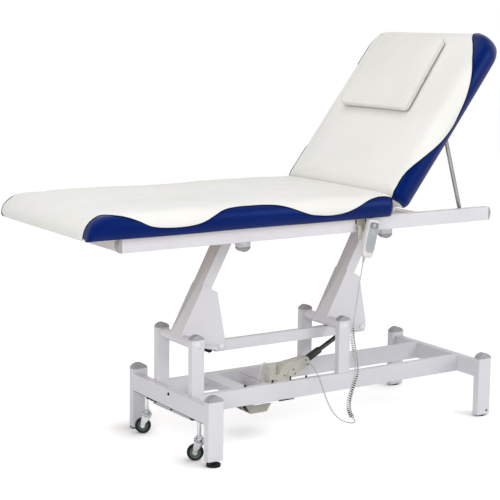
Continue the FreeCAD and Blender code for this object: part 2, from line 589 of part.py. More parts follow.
def backrest():
    pad = cushion(S.back_length, S.pad_width, S.back_edge, S.back_crown, S.pad_tuck, S.pad_shoulder,
                  (S.seat_corner, S.back_foot_roll), (S.back_corner, S.back_roll))
    board = box("back_length - 2 * board_inset", "pad_width - 2 * board_inset", "board_thick",
                (S.board_inset, -S.pad_width / 2 + S.board_inset, 0))
    clip = cushion_plan(S.back_length - 2 * S.board_inset, S.pad_width - 2 * S.board_inset, S.back_corner)
    node("back_board", in_place(common(board, clip), back_place))
    recess = Part.makeBox(S.back_length, S.pad_width, S.board_thick, Vector(0, -S.pad_width / 2, 0))
    outline = clip.Shape.common(recess)
    shape_node("back_pad", pad.cut(outline), back_place)
    pillow = cushion(S.pillow_length, S.pillow_width, S.pillow_edge, S.pillow_crown, S.pillow_roll / 2,
                     S.pillow_roll, (S.pillow_corner, S.pillow_roll), (S.pillow_corner, S.pillow_roll))
    lift = S.back_edge + S.back_crown + S.part_gap
    on_pad = FreeCAD.Placement(Vector(S.pillow_from_hinge, S.pillow_offset, lift), Rotation())
    shape_node("pillow", pillow, back_place.multiply(on_pad))


def cushion_plan(length, width, corner):
    """A tall block with the backrest's two rounded upper corners, which trims its board."""
    tall = 2 * S.board_thick
    low = -S.board_thick / 2
    half = width / 2
    turn = corner * (1 - math.sqrt(0.5))
    points = [Vector(0, -half, low), Vector(length - corner, -half, low), Vector(length, -half + corner, low),
              Vector(length, half - corner, low), Vector(length - corner, half, low), Vector(0, half, low)]
    middles = {1: Vector(length - turn, -half + turn, low), 3: Vector(length - turn, half - turn, low)}
    edges = []
    for index, point in enumerate(points):
        after = points[(index + 1) % len(points)]
        curve = Part.Arc(point, middles[index], after) if index in middles else Part.LineSegment(point, after)
        edges.append(curve.toShape())
    block = doc.addObject("Part::Feature", "plan")
    block.Shape = Part.Face(Part.Wire(edges)).extrude(Vector(0, 0, tall))
    block.Placement = FreeCAD.Placement(Vector(S.board_inset, 0, 0), Rotation())
    return block


def prop_and_racks():
    """The U-shaped prop under the backrest and the notched racks that its top bar holds."""
    pivot = Vector(prop_x, 0, top_high - S.prop_pivot_drop)
    depth = S.lug_flange_thick + S.rack_depth + S.prop_radius + S.part_gap
    foot = back_corner - off_back * depth
    offset = foot - pivot
    middle = offset.dot(along_back)
    reach = -middle + math.sqrt(middle ** 2 - offset.dot(offset) + S.prop_length ** 2)
    top = foot + along_back * reach
    line = top - pivot
    turn = math.degrees(math.atan2(line.x, line.z))
    side_y = top_half - S.top_rail_wide - S.prop_inset
    place = FreeCAD.Placement(pivot, Rotation(Vector(0, 1, 0), turn))
    pieces, pins = [], []
    for side in SIDES:
        y = side * side_y
        leg = cylinder("prop_radius", "prop_length", (0, y, 0))
        eye = cylinder("prop_eye_radius", "prop_eye_wide", (0, y - S.prop_eye_wide / 2, 0), "y")
        ball = moved(bind(doc.addObject("Part::Sphere", "corner"), Radius="prop_radius"), (0, y, S.prop_length))
        bore = cylinder("prop_pin_radius + running_gap", "4 * prop_radius", (0, y - 2 * S.prop_radius, 0), "y")
        pieces.append(cut(fuse(leg, eye, ball), bore))
        start = side_y - S.prop_eye_wide / 2
        pins.append(cylinder("prop_pin_radius", "prop_inset + prop_eye_wide / 2",
                             (pivot.x, low_y(side, start, S.prop_inset + S.prop_eye_wide / 2), pivot.z), "y"))
    bar = cylinder("prop_radius", "top_rail_span - 2 * top_rail_wide - 2 * prop_inset",
                   (0, -side_y, S.prop_length), "y")
    node("back_prop", in_place(fuse(*pieces, bar), place))
    node("prop_pins", *pins)
    racks = []
    bottom = -S.lug_flange_thick - S.rack_depth
    for side in SIDES:
        low = low_y(side, side_y - S.rack_inboard - S.rack_wide, S.rack_wide)
        strip = box("rack_end - rack_start", "rack_wide", "rack_depth + lug_flange_thick",
                    (S.rack_start, low, bottom))
        count = int((S.rack_end - S.rack_start) / S.rack_pitch) - 1
        starts = [S.rack_start + (index + 1) * S.rack_pitch for index in range(count)]
        notches = [cylinder("rack_notch", "rack_wide + 2 * cut_over",
                            (start, low - S.cut_over, bottom - S.rack_notch / 2), "y") for start in starts]
        racks.append(in_place(cut(strip, *notches), back_place))
    node("prop_racks", *racks)


def handset():
    """The handset in its hook on the near rail; returns the tip of its strain relief and its lean."""
    out = top_half + S.handset_proud + S.handset_thick / 2
    centre = Vector(foot_x + S.handset_from_foot, -out, S.handset_centre_z)
    place = FreeCAD.Placement(centre, Rotation(Vector(0, 1, 0), S.handset_lean_deg))
    long, wide, thick = S.handset_long, S.handset_wide, S.handset_thick
    body = rounded(box("handset_wide", "handset_thick", "handset_long", (-wide / 2, -thick / 2, -long / 2)),
                   S.handset_round)
    recess = box("keypad_wide", "keypad_thick", "keypad_long",
                 (-S.keypad_wide / 2, -thick / 2, -S.keypad_long / 2 + S.keypad_rise))
    wells, holes = [], []
    face = -thick / 2
    for index, name in enumerate(("button_down", "button_up")):
        z = S.button_climb + index * S.button_pitch
        holes.append(cylinder("button_radius + button_gap", "keypad_thick + 2 * cut_over",
                              (0, face - S.cut_over, z), "y"))
        deep = "keypad_thick + button_tall + button_gap"
        wells.append(cylinder("button_radius + button_gap", deep, (0, face, z), "y"))
        cap = cylinder("button_radius", "button_tall + button_travel", (0, face - S.button_travel, z), "y")
        node(name, in_place(cap, place))
    node("handset_body", in_place(cut(body, recess, *wells), place))
    keypad = box("keypad_wide", "keypad_thick", "keypad_long",
                 (-S.keypad_wide / 2, face, -S.keypad_long / 2 + S.keypad_rise))
    node("handset_keypad", in_place(cut(keypad, *holes), place))
    relief = bind(doc.addObject("Part::Cone", "relief"), Radius1="relief_tip_radius",
                  Radius2="relief_top_radius", Height="relief_long")
    tip = Vector(-S.relief_offset, 0, -long / 2 - S.relief_long)
    node("handset_relief", in_place(moved(relief, tuple(tip)), place))
    outer = -top_half
    back_plate = box("hook_plate_wide", "hook_plate_thick", "hook_plate_tall",
                     (centre.x - S.hook_plate_wide / 2, outer - S.hook_plate_thick, top_low))
    tongue = box("hook_arm_wide", "handset_proud", "hook_arm_tall",
                 (centre.x - S.hook_arm_wide / 2, outer - S.handset_proud, top_low))
    node("handset_hook", fuse(back_plate, tongue))
    return place.multVec(tip), place.Rotation.multVec(Vector(0, 0, -1))


def tube_along(name, points, radius):
    """A round tube along straight runs joined by tangent arcs, each as large as its runs allow."""
    bend_share = 0.45
    edges, radii = [], []
    start = points[0]
    for before, corner, after in zip(points, points[1:], points[2:]):
        come, go = corner - before, after - corner
        run = min(come.Length, go.Length) * bend_share
        come.normalize()
        go.normalize()
        turn = come.getAngle(go)
        radii.append(run / math.tan(turn / 2))
        enter, leave = corner - come * run, corner + go * run
        inward = (go - come).normalize()
        middle = corner + inward * (radii[-1] / math.cos(turn / 2) - radii[-1])
        edges += [Part.LineSegment(start, enter).toShape(), Part.Arc(enter, middle, leave).toShape()]
        start = leave
    edges.append(Part.LineSegment(start, points[-1]).toShape())
    path = Part.Wire(edges)
    ring = Part.Wire(Part.makeCircle(radius, points[0], points[1] - points[0]))
    solid = path.makePipeShell([ring], True, False)
    ratio = solid.Volume / (math.pi * radius ** 2 * path.Length)
    print("%s: length %.0f, volume ratio %.4f" % (name, path.Length, ratio))
    print("%s: radii %s" % (name, " ".join("%.0f" % bend for bend in radii)))
    return solid


def biarc(p, t, q, u):
    """Two arcs from p along t to q along u, as edges."""
    chord, total = q - p, t + u
    slack = 2 * (1 - t.dot(u))
    reach = chord.dot(total)
    step = (-reach + math.sqrt(reach ** 2 + slack * chord.dot(chord))) / slack
    joint = ((p + t * step) + (q - u * step)) * 0.5
    edges = []
    for start, tangent, end in ((p, t, joint), (q, u * -1, joint)):
        span = end - start
        along = Vector(span).normalize()
        side = tangent - along * tangent.dot(along)
        bend = along.getAngle(tangent)
        middle = (start + end) * 0.5 + side.normalize() * (span.Length / 2 * math.tan(bend / 2))
        first, last = (start, end) if start == p else (end, start)
        edges.append(Part.Arc(first, middle, last).toShape())
    return edges


def coil(start, heading):
    """The curly cord: one tube winding round a bent axis, straight on the axis at both ends."""
    first_share, nudge_share, ramp_quarters = 0.4, 0.001, 5
    poles = [start, start + heading * (start.z - COIL_AXIS[0][1]) * first_share]
    poles += [Vector(start.x + x, start.y, z) for x, z in COIL_AXIS]
    count = len(poles)
    axis = Part.BSplineCurve()
    knots = list(range(count - 1))
    mults = [3] + [1] * (count - 3) + [3]
    axis.buildFromPolesMultsKnots(poles, mults, knots, False, 2)
    quarter_turns = int(4 * S.coil_turns)
    length = axis.length()
    across = Vector(0, 1, 0)

    def point(turn_quarters):
        share = turn_quarters / quarter_turns
        at = axis.parameterAtDistance(share * length, axis.FirstParameter)
        tangent = axis.tangent(at)[0].normalize()
        sideways = tangent.cross(across)
        ramp = min(1, turn_quarters / ramp_quarters, (quarter_turns - turn_quarters) / ramp_quarters)
        radius = S.coil_radius * ramp * ramp * (3 - 2 * ramp)
        angle = turn_quarters * math.pi / 2
        return axis.value(at) + across * (radius * math.cos(angle)) + sideways * (radius * math.sin(angle))

    places = [point(index) for index in range(quarter_turns + 1)]
    headings = []
    for index in range(quarter_turns + 1):
        low, high = max(0, index - nudge_share), min(quarter_turns, index + nudge_share)
        headings.append((point(high) - point(low)).normalize())
    headings[0] = axis.tangent(axis.FirstParameter)[0].normalize()
    headings[-1] = axis.tangent(axis.LastParameter)[0].normalize()
    edges = [Part.LineSegment(places[0] - headings[0] * S.coil_straight, places[0]).toShape()]
    for index in range(quarter_turns):
        edges += biarc(places[index], headings[index], places[index + 1], headings[index + 1])
    end = places[-1] + headings[-1] * S.coil_straight
    edges.append(Part.LineSegment(places[-1], end).toShape())
    path = Part.Wire(edges)
    ring = Part.Wire(Part.makeCircle(S.cord_radius, places[0] - headings[0] * S.coil_straight, headings[0]))
    solid = path.makePipeShell([ring], True, False)
    dense = path.discretize(Number=quarter_turns * 4)
    half_turn, two_turns = 8, 32
    gap = min((one - two).Length for index, one in enumerate(dense)
              for two in dense[index + half_turn:index + two_turns])
    print("coil: length %.0f, least gap to itself %.2f" % (path.Length, gap - 2 * S.cord_radius))
    print("coil: volume ratio %.4f" % (solid.Volume / (math.pi * S.cord_radius ** 2 * path.Length)))
    return solid, end, headings[-1]


def cords(tip, heading, plug):
    start = Vector(foot_x + COIL_START[0], tip.y, COIL_START[1])
    bend = tip + heading * S.cord_lead_in
    coming = (start - bend).normalize()
    run = [tip, bend, start - coming * S.coil_straight]
    shape_node("cord_top", tube_along("straight run", run, S.cord_radius))
    solid, end, leaving = coil(start, coming)
    shape_node("cord_coil", solid)
    first = end + leaving * S.lead_start
    route = [end, first] + [Vector(*point) for point in LEAD_ROUTE]
    route += [plug + Vector(S.lead_finish, 0, 0), plug]
    shape_node("cord_lead", tube_along("lead", route, S.cord_radius))


base_frame()
lower_posts()
arm("foot_arm", foot_pivot)
arm("head_arm", head_pivot)
tie_bar()
actuator()
actuator_mount()
lead_plug = control_box()
caster_bar()
caster("near_caster", -1)
caster("far_caster", 1)
top_frame()
seat()
hinge_parts()
backrest()
prop_and_racks()
relief_tip, relief_heading = handset()
cords(relief_tip, relief_heading, lead_plug)

doc.recompute()
failed = [thing.Label for thing in doc.Objects if "Invalid" in thing.State or "Error" in thing.State]
faulty = [name for name, thing in nodes.items() if thing.Shape.isNull() or not thing.Shape.isValid()]
if failed or faulty:
    raise RuntimeError("failed: %s, faulty: %s" % (failed, faulty))
os.makedirs("parts", exist_ok=True)
for name, thing in nodes.items():
    thing.Shape.exportStep("parts/%s.step" % name)
print("%d nodes" % len(nodes))
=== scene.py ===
from math import atan2, copysign, cos, hypot, pi, radians, sin, sqrt

import bmesh
import bpy
import numpy as np
from mathutils import Matrix, Vector


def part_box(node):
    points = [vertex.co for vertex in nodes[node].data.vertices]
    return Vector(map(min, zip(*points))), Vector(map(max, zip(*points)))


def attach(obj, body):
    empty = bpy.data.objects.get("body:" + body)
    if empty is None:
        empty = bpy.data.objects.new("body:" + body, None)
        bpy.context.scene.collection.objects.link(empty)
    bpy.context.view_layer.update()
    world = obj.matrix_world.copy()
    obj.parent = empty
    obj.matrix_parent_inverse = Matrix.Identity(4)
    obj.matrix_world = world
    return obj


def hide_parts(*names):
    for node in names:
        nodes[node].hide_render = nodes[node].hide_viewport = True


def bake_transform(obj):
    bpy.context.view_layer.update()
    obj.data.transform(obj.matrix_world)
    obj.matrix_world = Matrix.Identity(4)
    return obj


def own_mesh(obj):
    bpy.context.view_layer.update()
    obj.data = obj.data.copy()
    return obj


# An electric physiotherapy table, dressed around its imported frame. Metres, +Z up, foot end towards -X.
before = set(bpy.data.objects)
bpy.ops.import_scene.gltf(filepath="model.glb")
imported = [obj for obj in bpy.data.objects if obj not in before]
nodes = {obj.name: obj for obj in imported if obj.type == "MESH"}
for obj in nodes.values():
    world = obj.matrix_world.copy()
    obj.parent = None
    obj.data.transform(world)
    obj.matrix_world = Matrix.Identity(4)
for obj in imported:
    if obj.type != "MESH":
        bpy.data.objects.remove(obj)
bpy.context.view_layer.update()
scene = bpy.context.scene
scene.view_settings.view_transform = "Standard"
shift = Matrix.Translation
# The looks' materials by name.
LOOKS = {}


def linear(colour):
    """0-255 display values as a shader's colour."""
    channels = [value / 255 for value in colour]
    return [c / 12.92 if c <= 0.04045 else ((c + 0.055) / 1.055) ** 2.4 for c in channels] + [1.0]


def feed(node, inputs):
    """Sets a node's inputs by name or number, to values or from other nodes' sockets."""
    for name, value in inputs.items():
        if isinstance(value, bpy.types.NodeSocket):
            node.id_data.links.new(value, node.inputs[name])
        else:
            node.inputs[name].default_value = value
    return node


class Look:
    """A node material: a Principled shader and the few textures that feed it."""

    def __init__(self, name, inputs=None):
        self.material = LOOKS[name] = bpy.data.materials.new(name)
        self.material.use_nodes = True
        self.tree = self.material.node_tree
        self.shader = feed(self.tree.nodes["Principled BSDF"], inputs or {})
        self.place = self.add("TexCoord").outputs["Object"]

    def add(self, kind, inputs=None):
        return feed(self.tree.nodes.new("ShaderNode" + kind), inputs or {})

    def noise(self, scale, detail, stretch=None, distortion=0.0):
        place = self.place
        if stretch:
            place = self.add("Mapping", {"Scale": stretch, "Vector": place}).outputs["Vector"]
        return self.add("TexNoise", {"Scale": scale, "Detail": detail, "Distortion": distortion,
                                     "Vector": place}).outputs["Fac"]

    def cells(self, scale, feature="SMOOTH_F1"):
        texture = self.add("TexVoronoi")
        texture.feature = feature
        return feed(texture, {"Scale": scale, "Vector": self.place}).outputs["Distance"]

    def spread(self, value, low, high, to_low=0, to_high=1):
        return self.add("MapRange", {"Value": value, "From Min": low, "From Max": high, "To Min": to_low,
                                     "To Max": to_high}).outputs["Result"]

    def between(self, share, *colours):
        """Mixes two colours, each display values, a shader's list or a socket."""
        mix = self.add("Mix")
        mix.data_type = "RGBA"
        first, second = [linear(c) if isinstance(c, tuple) else c for c in colours]
        return feed(mix, {"Factor": share, 6: first, 7: second}).outputs[2]

    def tone(self, value, low, high, first, second):
        feed(self.shader, {"Base Color": self.between(self.spread(value, low, high), first, second)})

    def rough(self, value, low, high, most=0.7):
        feed(self.shader, {"Roughness": self.spread(value, 0.3, most, low, high)})

    def bump(self, *heights):
        """Bumps in series, each a height, its strength and its depth in metres."""
        below = {}
        for height, strength, depth in heights:
            node = self.add("Bump", {"Height": height, "Strength": strength, "Distance": depth, **below})
            below = {"Normal": node.outputs["Normal"]}
        feed(self.shader, below)


def vinyl(name, colour, shade, rough, gloss, tint=(255, 255, 255)):
    """Upholstery vinyl: pebbled grain, fine pores, slow tone changes and a soft sheen."""
    look = Look(name, {"Specular IOR Level": gloss, "Specular Tint": linear(tint)})
    look.tone(look.noise(3.5, 4), 0.35, 0.7, colour, shade)
    look.rough(look.noise(14, 5), rough - 0.05, rough + 0.08, 0.75)
    look.bump((look.noise(5, 2), 0.1, 0.004), (look.cells(620), 0.16, 0.0005),
              (look.noise(1500, 3), 0.1, 0.0003))


def paint(name, colour, shade, rough):
    """Powder coat: orange peel, slow tone changes and faint handling grime."""
    look = Look(name, {"Coat Weight": 0.15, "Coat Roughness": 0.2})
    look.tone(look.noise(2.5, 6), 0.35, 0.75, colour, shade)
    look.rough(look.noise(30, 5), rough - 0.06, rough + 0.08)
    look.bump((look.noise(420, 2), 0.12, 0.0004), (look.noise(1600, 2), 0.05, 0.0002))


def moulded(name, colour, shade, rough, grain=900):
    """Moulded plastic: spark-eroded grain, slight tone drift and shinier rubbed spots."""
    look = Look(name)
    look.tone(look.noise(22, 4), 0.35, 0.7, colour, shade)
    look.rough(look.noise(60, 4), rough - 0.07, rough + 0.08)
    look.bump((look.cells(grain), 0.14, 0.0003), (look.noise(260, 3), 0.06, 0.0003))


def metal(name, colour, shade, rough, stretch, scratch=0.12):
    """Bare or plated metal: drawn lines along one way, cloudy plating and fine scuffs."""
    look = Look(name, {"Metallic": 1.0})
    look.tone(look.noise(18, 5), 0.35, 0.7, colour, shade)
    look.rough(look.noise(120, 6, stretch), rough - 0.05, rough + 0.1)
    look.bump((look.noise(240, 5, stretch), scratch, 0.0002), (look.noise(900, 2), 0.04, 0.0002))


def curly(name, outer, inner):
    """Curly cord: a moulded jacket, near black on the side that looks into the turns: painted shade inside
    the coil.
    """
    look = Look(name)
    inward = look.add("Attribute")
    inward.attribute_name = "inward"
    bright = linear(outer)
    speckled = look.between(look.spread(look.noise(90, 4), 0.35, 0.7), bright, [c * 0.9 for c in bright])
    # Sides that look towards the coil's axis fade to the near-black colour: painted shade.
    look.tone(inward.outputs["Fac"], -0.72, 0.0, speckled, inner)
    look.rough(look.noise(140, 4), 0.42, 0.58)
    look.bump((look.noise(900, 3), 0.08, 0.0002))


def rubber(name, colour, shade, rough):
    """Rubber: dull, dusty in patches, finely pitted."""
    look = Look(name, {"Specular IOR Level": 0.2})
    look.tone(look.noise(35, 6), 0.4, 0.75, colour, shade)
    look.rough(look.noise(80, 5), rough - 0.08, rough + 0.08)
    look.bump((look.noise(700, 4), 0.2, 0.0005), (look.cells(420, "F1"), 0.08, 0.0003))


def birch_ply(name):
    """Raw plywood: long grain, darker pores and flat face."""
    look = Look(name)
    look.tone(look.noise(26, 8, (1.5, 22, 22), 0.6), 0.3, 0.72, (203, 176, 134), (168, 132, 88))
    look.rough(look.noise(50, 4, (1, 9, 9)), 0.55, 0.75)
    look.bump((look.noise(60, 8, (1.2, 26, 26)), 0.3, 0.0006))


# Each look's two tones, roughness and finish. A look with a record slot's name is that slot's.
for row in (
    ("white_vinyl", (236, 235, 231), (230, 229, 224), 0.46, 0.3),
    ("pillow_vinyl", (234, 233, 228), (226, 224, 217), 0.48, 0.3),
    # The pillow's dark lowest wall band is painted shade of the crevice under its edge.
    ("pillow_crevice_shade", (92, 90, 86), (80, 78, 74), 0.6, 0.1),
    ("navy_vinyl", (5, 29, 94), (3, 24, 86), 0.3, 0.32, (70, 108, 190)),
    # The welt's near-black colour is partly the seam's own dark edge, partly painted shade along the seam.
    ("piping_navy_and_shade", (3, 7, 24), (2, 5, 19), 0.45, 0.03),
):
    vinyl(*row)
for row in (
    ("frame_paint", (222, 221, 226), (212, 211, 217), 0.36),
    ("bar_paint", (200, 201, 205), (188, 189, 194), 0.4),
):
    paint(*row)
for row in (
    ("zinc", (210, 212, 214), (160, 163, 166), 0.24, (1, 1, 6)),
    ("bright_chrome", (206, 207, 208), (184, 186, 188), 0.12, (1, 1, 8), 0.05),
    ("rod_steel", (84, 84, 88), (66, 66, 70), 0.16, (1, 1, 8), 0.05),
    ("prop_steel", (158, 158, 160), (138, 138, 141), 0.16, (1, 1, 8), 0.05),
    ("bar_steel", (190, 191, 194), (164, 166, 170), 0.3, (1, 8, 1)),
):
    metal(*row)
for row in (
    ("black_rubber", (16, 16, 17), (30, 29, 28), 0.62),
    ("tyre_rubber", (10, 17, 23), (20, 27, 32), 0.5),
):
    rubber(*row)
for row in (
    ("grey_cap", (168, 167, 171), (156, 155, 159), 0.5),
    ("hub_plastic", (86, 100, 84), (68, 82, 68), 0.5, 700),
    ("boss_plastic", (184, 190, 168), (166, 172, 150), 0.45, 700),
    ("cream_plastic", (212, 211, 200), (200, 199, 186), 0.45),
    ("dome_white", (234, 234, 236), (226, 226, 229), 0.4, 1200),
    ("cable_white", (228, 228, 226), (216, 216, 213), 0.45, 1600),
    ("hook_plastic", (196, 194, 184), (182, 180, 168), 0.5),
    ("panel_grey", (128, 133, 132), (116, 121, 121), 0.4, 1400),
    ("beige_plastic", (192, 190, 180), (178, 176, 164), 0.5),
    ("black_plastic", (30, 30, 31), (44, 44, 44), 0.45),
    ("handset_shell", (226, 225, 224), (214, 213, 211), 0.42),
    ("keypad_film", (172, 176, 179), (160, 164, 168), 0.34, 1400),
    ("button_plastic", (204, 206, 208), (190, 193, 196), 0.38, 1400),
    ("cord_grey", (196, 196, 196), (180, 180, 180), 0.5, 1600),
    ("symbol_ink", (70, 78, 92), (58, 64, 78), 0.45, 1600),
):
    moulded(*row)
# The curly cord's near-black second colour, on the sides that look into the turns, is painted shade.
curly("curly_grey_painted_shade", (222, 221, 216), (10, 10, 10))
birch_ply("plywood")

# The CAD nodes that don't take their slot's look.
NODE_LOOKS = {
    "actuator_rod": "rod_steel", "back_prop": "prop_steel", "caster_bar": "bar_steel",
    "actuator_housing": "cream_plastic", "lower_pivot_shafts": "dome_white",
    "upper_pivot_shafts": "dome_white", "foot_arm_tie_pin": "dome_white", "head_arm_tie_pin": "dome_white",
}
# How far the CAD nodes' edges are broken, in metres.
EDGES = {
    0.003: ["base_legs", "base_side_rails", "base_cross_tubes", "base_cross_member", "lower_posts",
            "upper_posts", "top_rails", "top_cross_tubes", "foot_arm_tube", "head_arm_tube", "tie_bar"],
    0.0012: ["foot_arm_gussets", "head_arm_gussets", "leg_caps", "lower_post_caps", "upper_post_caps",
             "top_rail_caps", "control_plate", "actuator_mount", "caster_bar"],
    0.004: ["actuator_housing", "control_box"],
    0.0008: ["near_caster_axle", "far_caster_axle"],
}


def dress_nodes():
    """A CAD node takes its own look, or that of its slot, which names its material."""
    for name, item in nodes.items():
        for place in item.material_slots:
            place.material = LOOKS[NODE_LOOKS.get(name, place.material.name.split(".")[0])]


def soften(name, width):
    """Rolled or deburred edges on a CAD node, by modifiers alone."""
    weld = nodes[name].modifiers.new("weld", "WELD")
    weld.merge_threshold = 0.00002
    bevel = nodes[name].modifiers.new("edges", "BEVEL")
    bevel.width, bevel.segments = width, 3
    bevel.limit_method, bevel.angle_limit = "ANGLE", radians(35)


def new_object(name, data):
    item = bpy.data.objects.new(name, data)
    scene.collection.objects.link(item)
    return item


def piece(name, mesh, body, slot, *looks):
    """A new object on a body, if one is given, with the looks given, or else the look named like its slot."""
    item = new_object(name, mesh)
    for look in looks or (slot,):
        mesh.materials.append(LOOKS[look])
    if body:
        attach(item, body)
    return item


def mesh_of(name, form, smooth=True):
    bmesh.ops.recalc_face_normals(form, faces=form.faces[:])
    for face in form.faces:
        face.smooth = smooth
    mesh = bpy.data.meshes.new(name)
    form.to_mesh(mesh)
    form.free()
    return mesh


def built(name, form, body, slot, *looks, node=None, crease=38):
    """A piece made from a form, which may stand for a CAD node. Edges look sharp from crease degrees on."""
    item = piece(name, mesh_of(name, form, crease > 0), body, slot, *looks)
    if 0 < crease < 180:
        item.data.set_sharp_from_angle(angle=radians(crease))
    if node:
        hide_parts(node)
    return item


def subdivide(item):
    fold = item.modifiers.new("smooth", "SUBSURF")
    fold.levels = fold.render_levels = 1


# Cords: the route points repeat those of the source. The upper two runs hang in one plane.
CORD_RADIUS, CABLE_RADIUS, CORD_Y = 0.0022, 0.0026, -0.3365
TOP_ROUTE = [(x, CORD_Y, z) for x, z in ((0.2016, 0.6698), (0.1891, 0.6111), (0.1635, 0.436))]
COIL_ROUTE = [(x, CORD_Y, z) for x, z in (
    (0.1635, 0.436), (0.16165, 0.42333), (0.1605, 0.404), (0.1715, 0.356), (0.1825, 0.3), (0.1845, 0.262),
    (0.1695, 0.222), (0.1535, 0.178), (0.1505, 0.15), (0.1585, 0.124), (0.1715, 0.106))]
LEAD_ROUTE = [
    (0.175, -0.3365, 0.1023), (0.1838, -0.3365, 0.0941), (0.187, -0.326, 0.084), (0.184, -0.311, 0.079),
    (0.174, -0.296, 0.08), (0.16, -0.277, 0.087), (0.152, -0.25, 0.103), (0.152, -0.222, 0.124),
    (0.153, -0.196, 0.152), (0.154, -0.172, 0.184), (0.155, -0.151, 0.212), (0.158, -0.127, 0.232),
    (0.16, -0.1, 0.247), (0.156, -0.078, 0.257), (0.143, -0.06, 0.262), (0.125, -0.05, 0.262),
    (0.109, -0.046, 0.253), (0.098, -0.044, 0.236), (0.089, -0.043, 0.212), (0.08, -0.041, 0.184),
    (0.073, -0.037, 0.16), (0.065, -0.033, 0.139), (0.0535, -0.03, 0.12975), (0.0355, -0.03, 0.12975),
]
# The motor's short cable: out of the motor, over in a loop and down through the plate.
CABLE_ROUTE = [
    (0.044, 0.012, 0.233), (0.036, 0.011, 0.242), (0.025, 0.01, 0.254), (0.012, 0.009, 0.253),
    (0.003, 0.008, 0.24), (-0.003, 0.008, 0.22), (-0.006, 0.009, 0.196), (-0.0075, 0.01, 0.172),
    (-0.008, 0.01, 0.149),
]
COIL_TURNS, COIL_RADIUS, COIL_RAMP, TURN_POINTS = 42, 0.007, 0.7, 20


def route_curve(name, points):
    curve = bpy.data.curves.new(name, "CURVE")
    curve.dimensions = "3D"
    spline = curve.splines.new("NURBS")
    spline.points.add(len(points) - 1)
    for point, place in zip(spline.points, points):
        point.co = (*place, 1.0)
    spline.order_u = 3
    spline.use_endpoint_u = True
    spline.resolution_u = 12
    return curve


def route_line(points):
    """The points of a route's spline, as Blender gives them for a curve with no bevel."""
    bare = bpy.data.objects.new("route", route_curve("route", points))
    mesh = bpy.data.meshes.new_from_object(bare)
    line = np.array([vertex.co for vertex in mesh.vertices])
    bpy.data.meshes.remove(mesh)
    bpy.data.curves.remove(bare.data)
    return line


def along(line):
    return np.concatenate([[0], np.cumsum(np.linalg.norm(np.diff(line, axis=0), axis=1))])


def directions(line):
    tangents = np.gradient(line, axis=0)
    return tangents / np.linalg.norm(tangents, axis=1)[:, None]


def skin(form, rings):
    """Faces between closed rings of vertices and over both ends."""
    for one, two in zip(rings, rings[1:]):
        for corners in zip(one, one[1:] + one[:1], two[1:] + two[:1], two):
            form.faces.new(corners)
    form.faces.new(rings[0][::-1])
    form.faces.new(rings[-1])


def tube(name, line, radius, body, slot, *looks, sides=10, axis=None):
    """A closed tube round a line, its rings turned as little as possible.

    With an axis line given, a vertex attribute says how much each point looks towards it."""
    form = bmesh.new()
    tangents = directions(line)
    side = np.cross(tangents[0], (0, 1, 0))
    turns = [2 * pi * index / sides for index in range(sides)]
    rings = []
    for centre, tangent in zip(line, tangents):
        side = side - tangent * (side @ tangent)
        side /= np.linalg.norm(side)
        other = np.cross(tangent, side)
        rings.append([form.verts.new(centre + radius * (cos(t) * side + sin(t) * other)) for t in turns])
    skin(form, rings)
    mesh = mesh_of(name, form)
    if axis is not None:
        spots = np.array([vertex.co for vertex in mesh.vertices]).reshape(-1, sides, 3) - line[:, None]
        inward = axis - line
        inward /= np.maximum(np.linalg.norm(inward, axis=1), 1e-6)[:, None]
        looks_in = (spots / radius * inward[:, None]).sum(axis=2).astype(np.float32)
        mesh.attributes.new("inward", "FLOAT", "POINT").data.foreach_set("value", looks_in.ravel())
    return piece(name, mesh, body, slot, *looks)


def helix(axis_line):
    """The curly run: turns round the axis that open and close on it at both ends."""
    gone = along(axis_line)
    shares = np.linspace(0, 1, COIL_TURNS * TURN_POINTS + 1)
    centres = np.stack([np.interp(shares * gone[-1], gone, axis_line[:, k]) for k in range(3)], axis=1)
    across = np.array((0.0, 1.0, 0.0))
    sideways = np.cross(directions(centres), across)
    turns = shares * COIL_TURNS
    ramp = np.clip(np.minimum(turns, COIL_TURNS - turns) / COIL_RAMP, 0, 1)
    radius = (COIL_RADIUS * ramp ** 2 * (3 - 2 * ramp))[:, None]
    angle = (turns * 2 * pi)[:, None]
    return centres + across * radius * np.cos(angle) + sideways * radius * np.sin(angle), centres


def cords():
    top_line, lead_line, cable_line = map(route_line, (TOP_ROUTE, LEAD_ROUTE, CABLE_ROUTE))
    coil_line, coil_axis = helix(route_line(COIL_ROUTE))
    top = tube("handset_cord", top_line, CORD_RADIUS, "top_frame", "cord_grey")
    coil = tube("curly_cord", coil_line, CORD_RADIUS, "base", "cord_grey", "curly_grey_painted_shade", sides=8,
                axis=coil_axis)
    curve = route_curve("control_lead", LEAD_ROUTE)
    curve.bevel_depth, curve.bevel_resolution, curve.use_fill_caps = CORD_RADIUS, 4, True
    lead = piece("control_lead", curve, "base", "cord_grey")
    for cord, line, node, lay in ((top, top_line, "cord_top", "hanging"),
                                  (coil, coil_line, "cord_coil", "hanging"),
                                  (lead, lead_line, "cord_lead", "loose")):
        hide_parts(node)
    cable = tube("motor_cable", cable_line, CABLE_RADIUS, None, "cord_grey", "cable_white")
    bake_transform(cable)
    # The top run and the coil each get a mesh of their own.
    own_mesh(top)
    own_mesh(coil)


# Upholstery: sizes repeat the source's cushions.
PAD_WIDTH, PAD_TUCK, PAD_SHOULDER, BOARD_INSET, BOARD_THICK = 0.7, 0.014, 0.016, 0.026, 0.015
PAD_ROWS, PAD_COLUMNS, PAD_STEP, PAD_SOFT, OUTLINE_STEP = 8, 60, 0.012, 0.007, 0.001
# Stations near a pad's ends, close where it curves and where the board's edge is.
PAD_ENDS = [0, 0.0008, 0.003, 0.007, 0.012, 0.018, 0.0252, 0.0258, 0.036]
PAD_INNER = 0.047
SWELL_FRAMES, SEAM_DEPTH, PIPING_RADIUS = 14, 0.0006, 0.0017
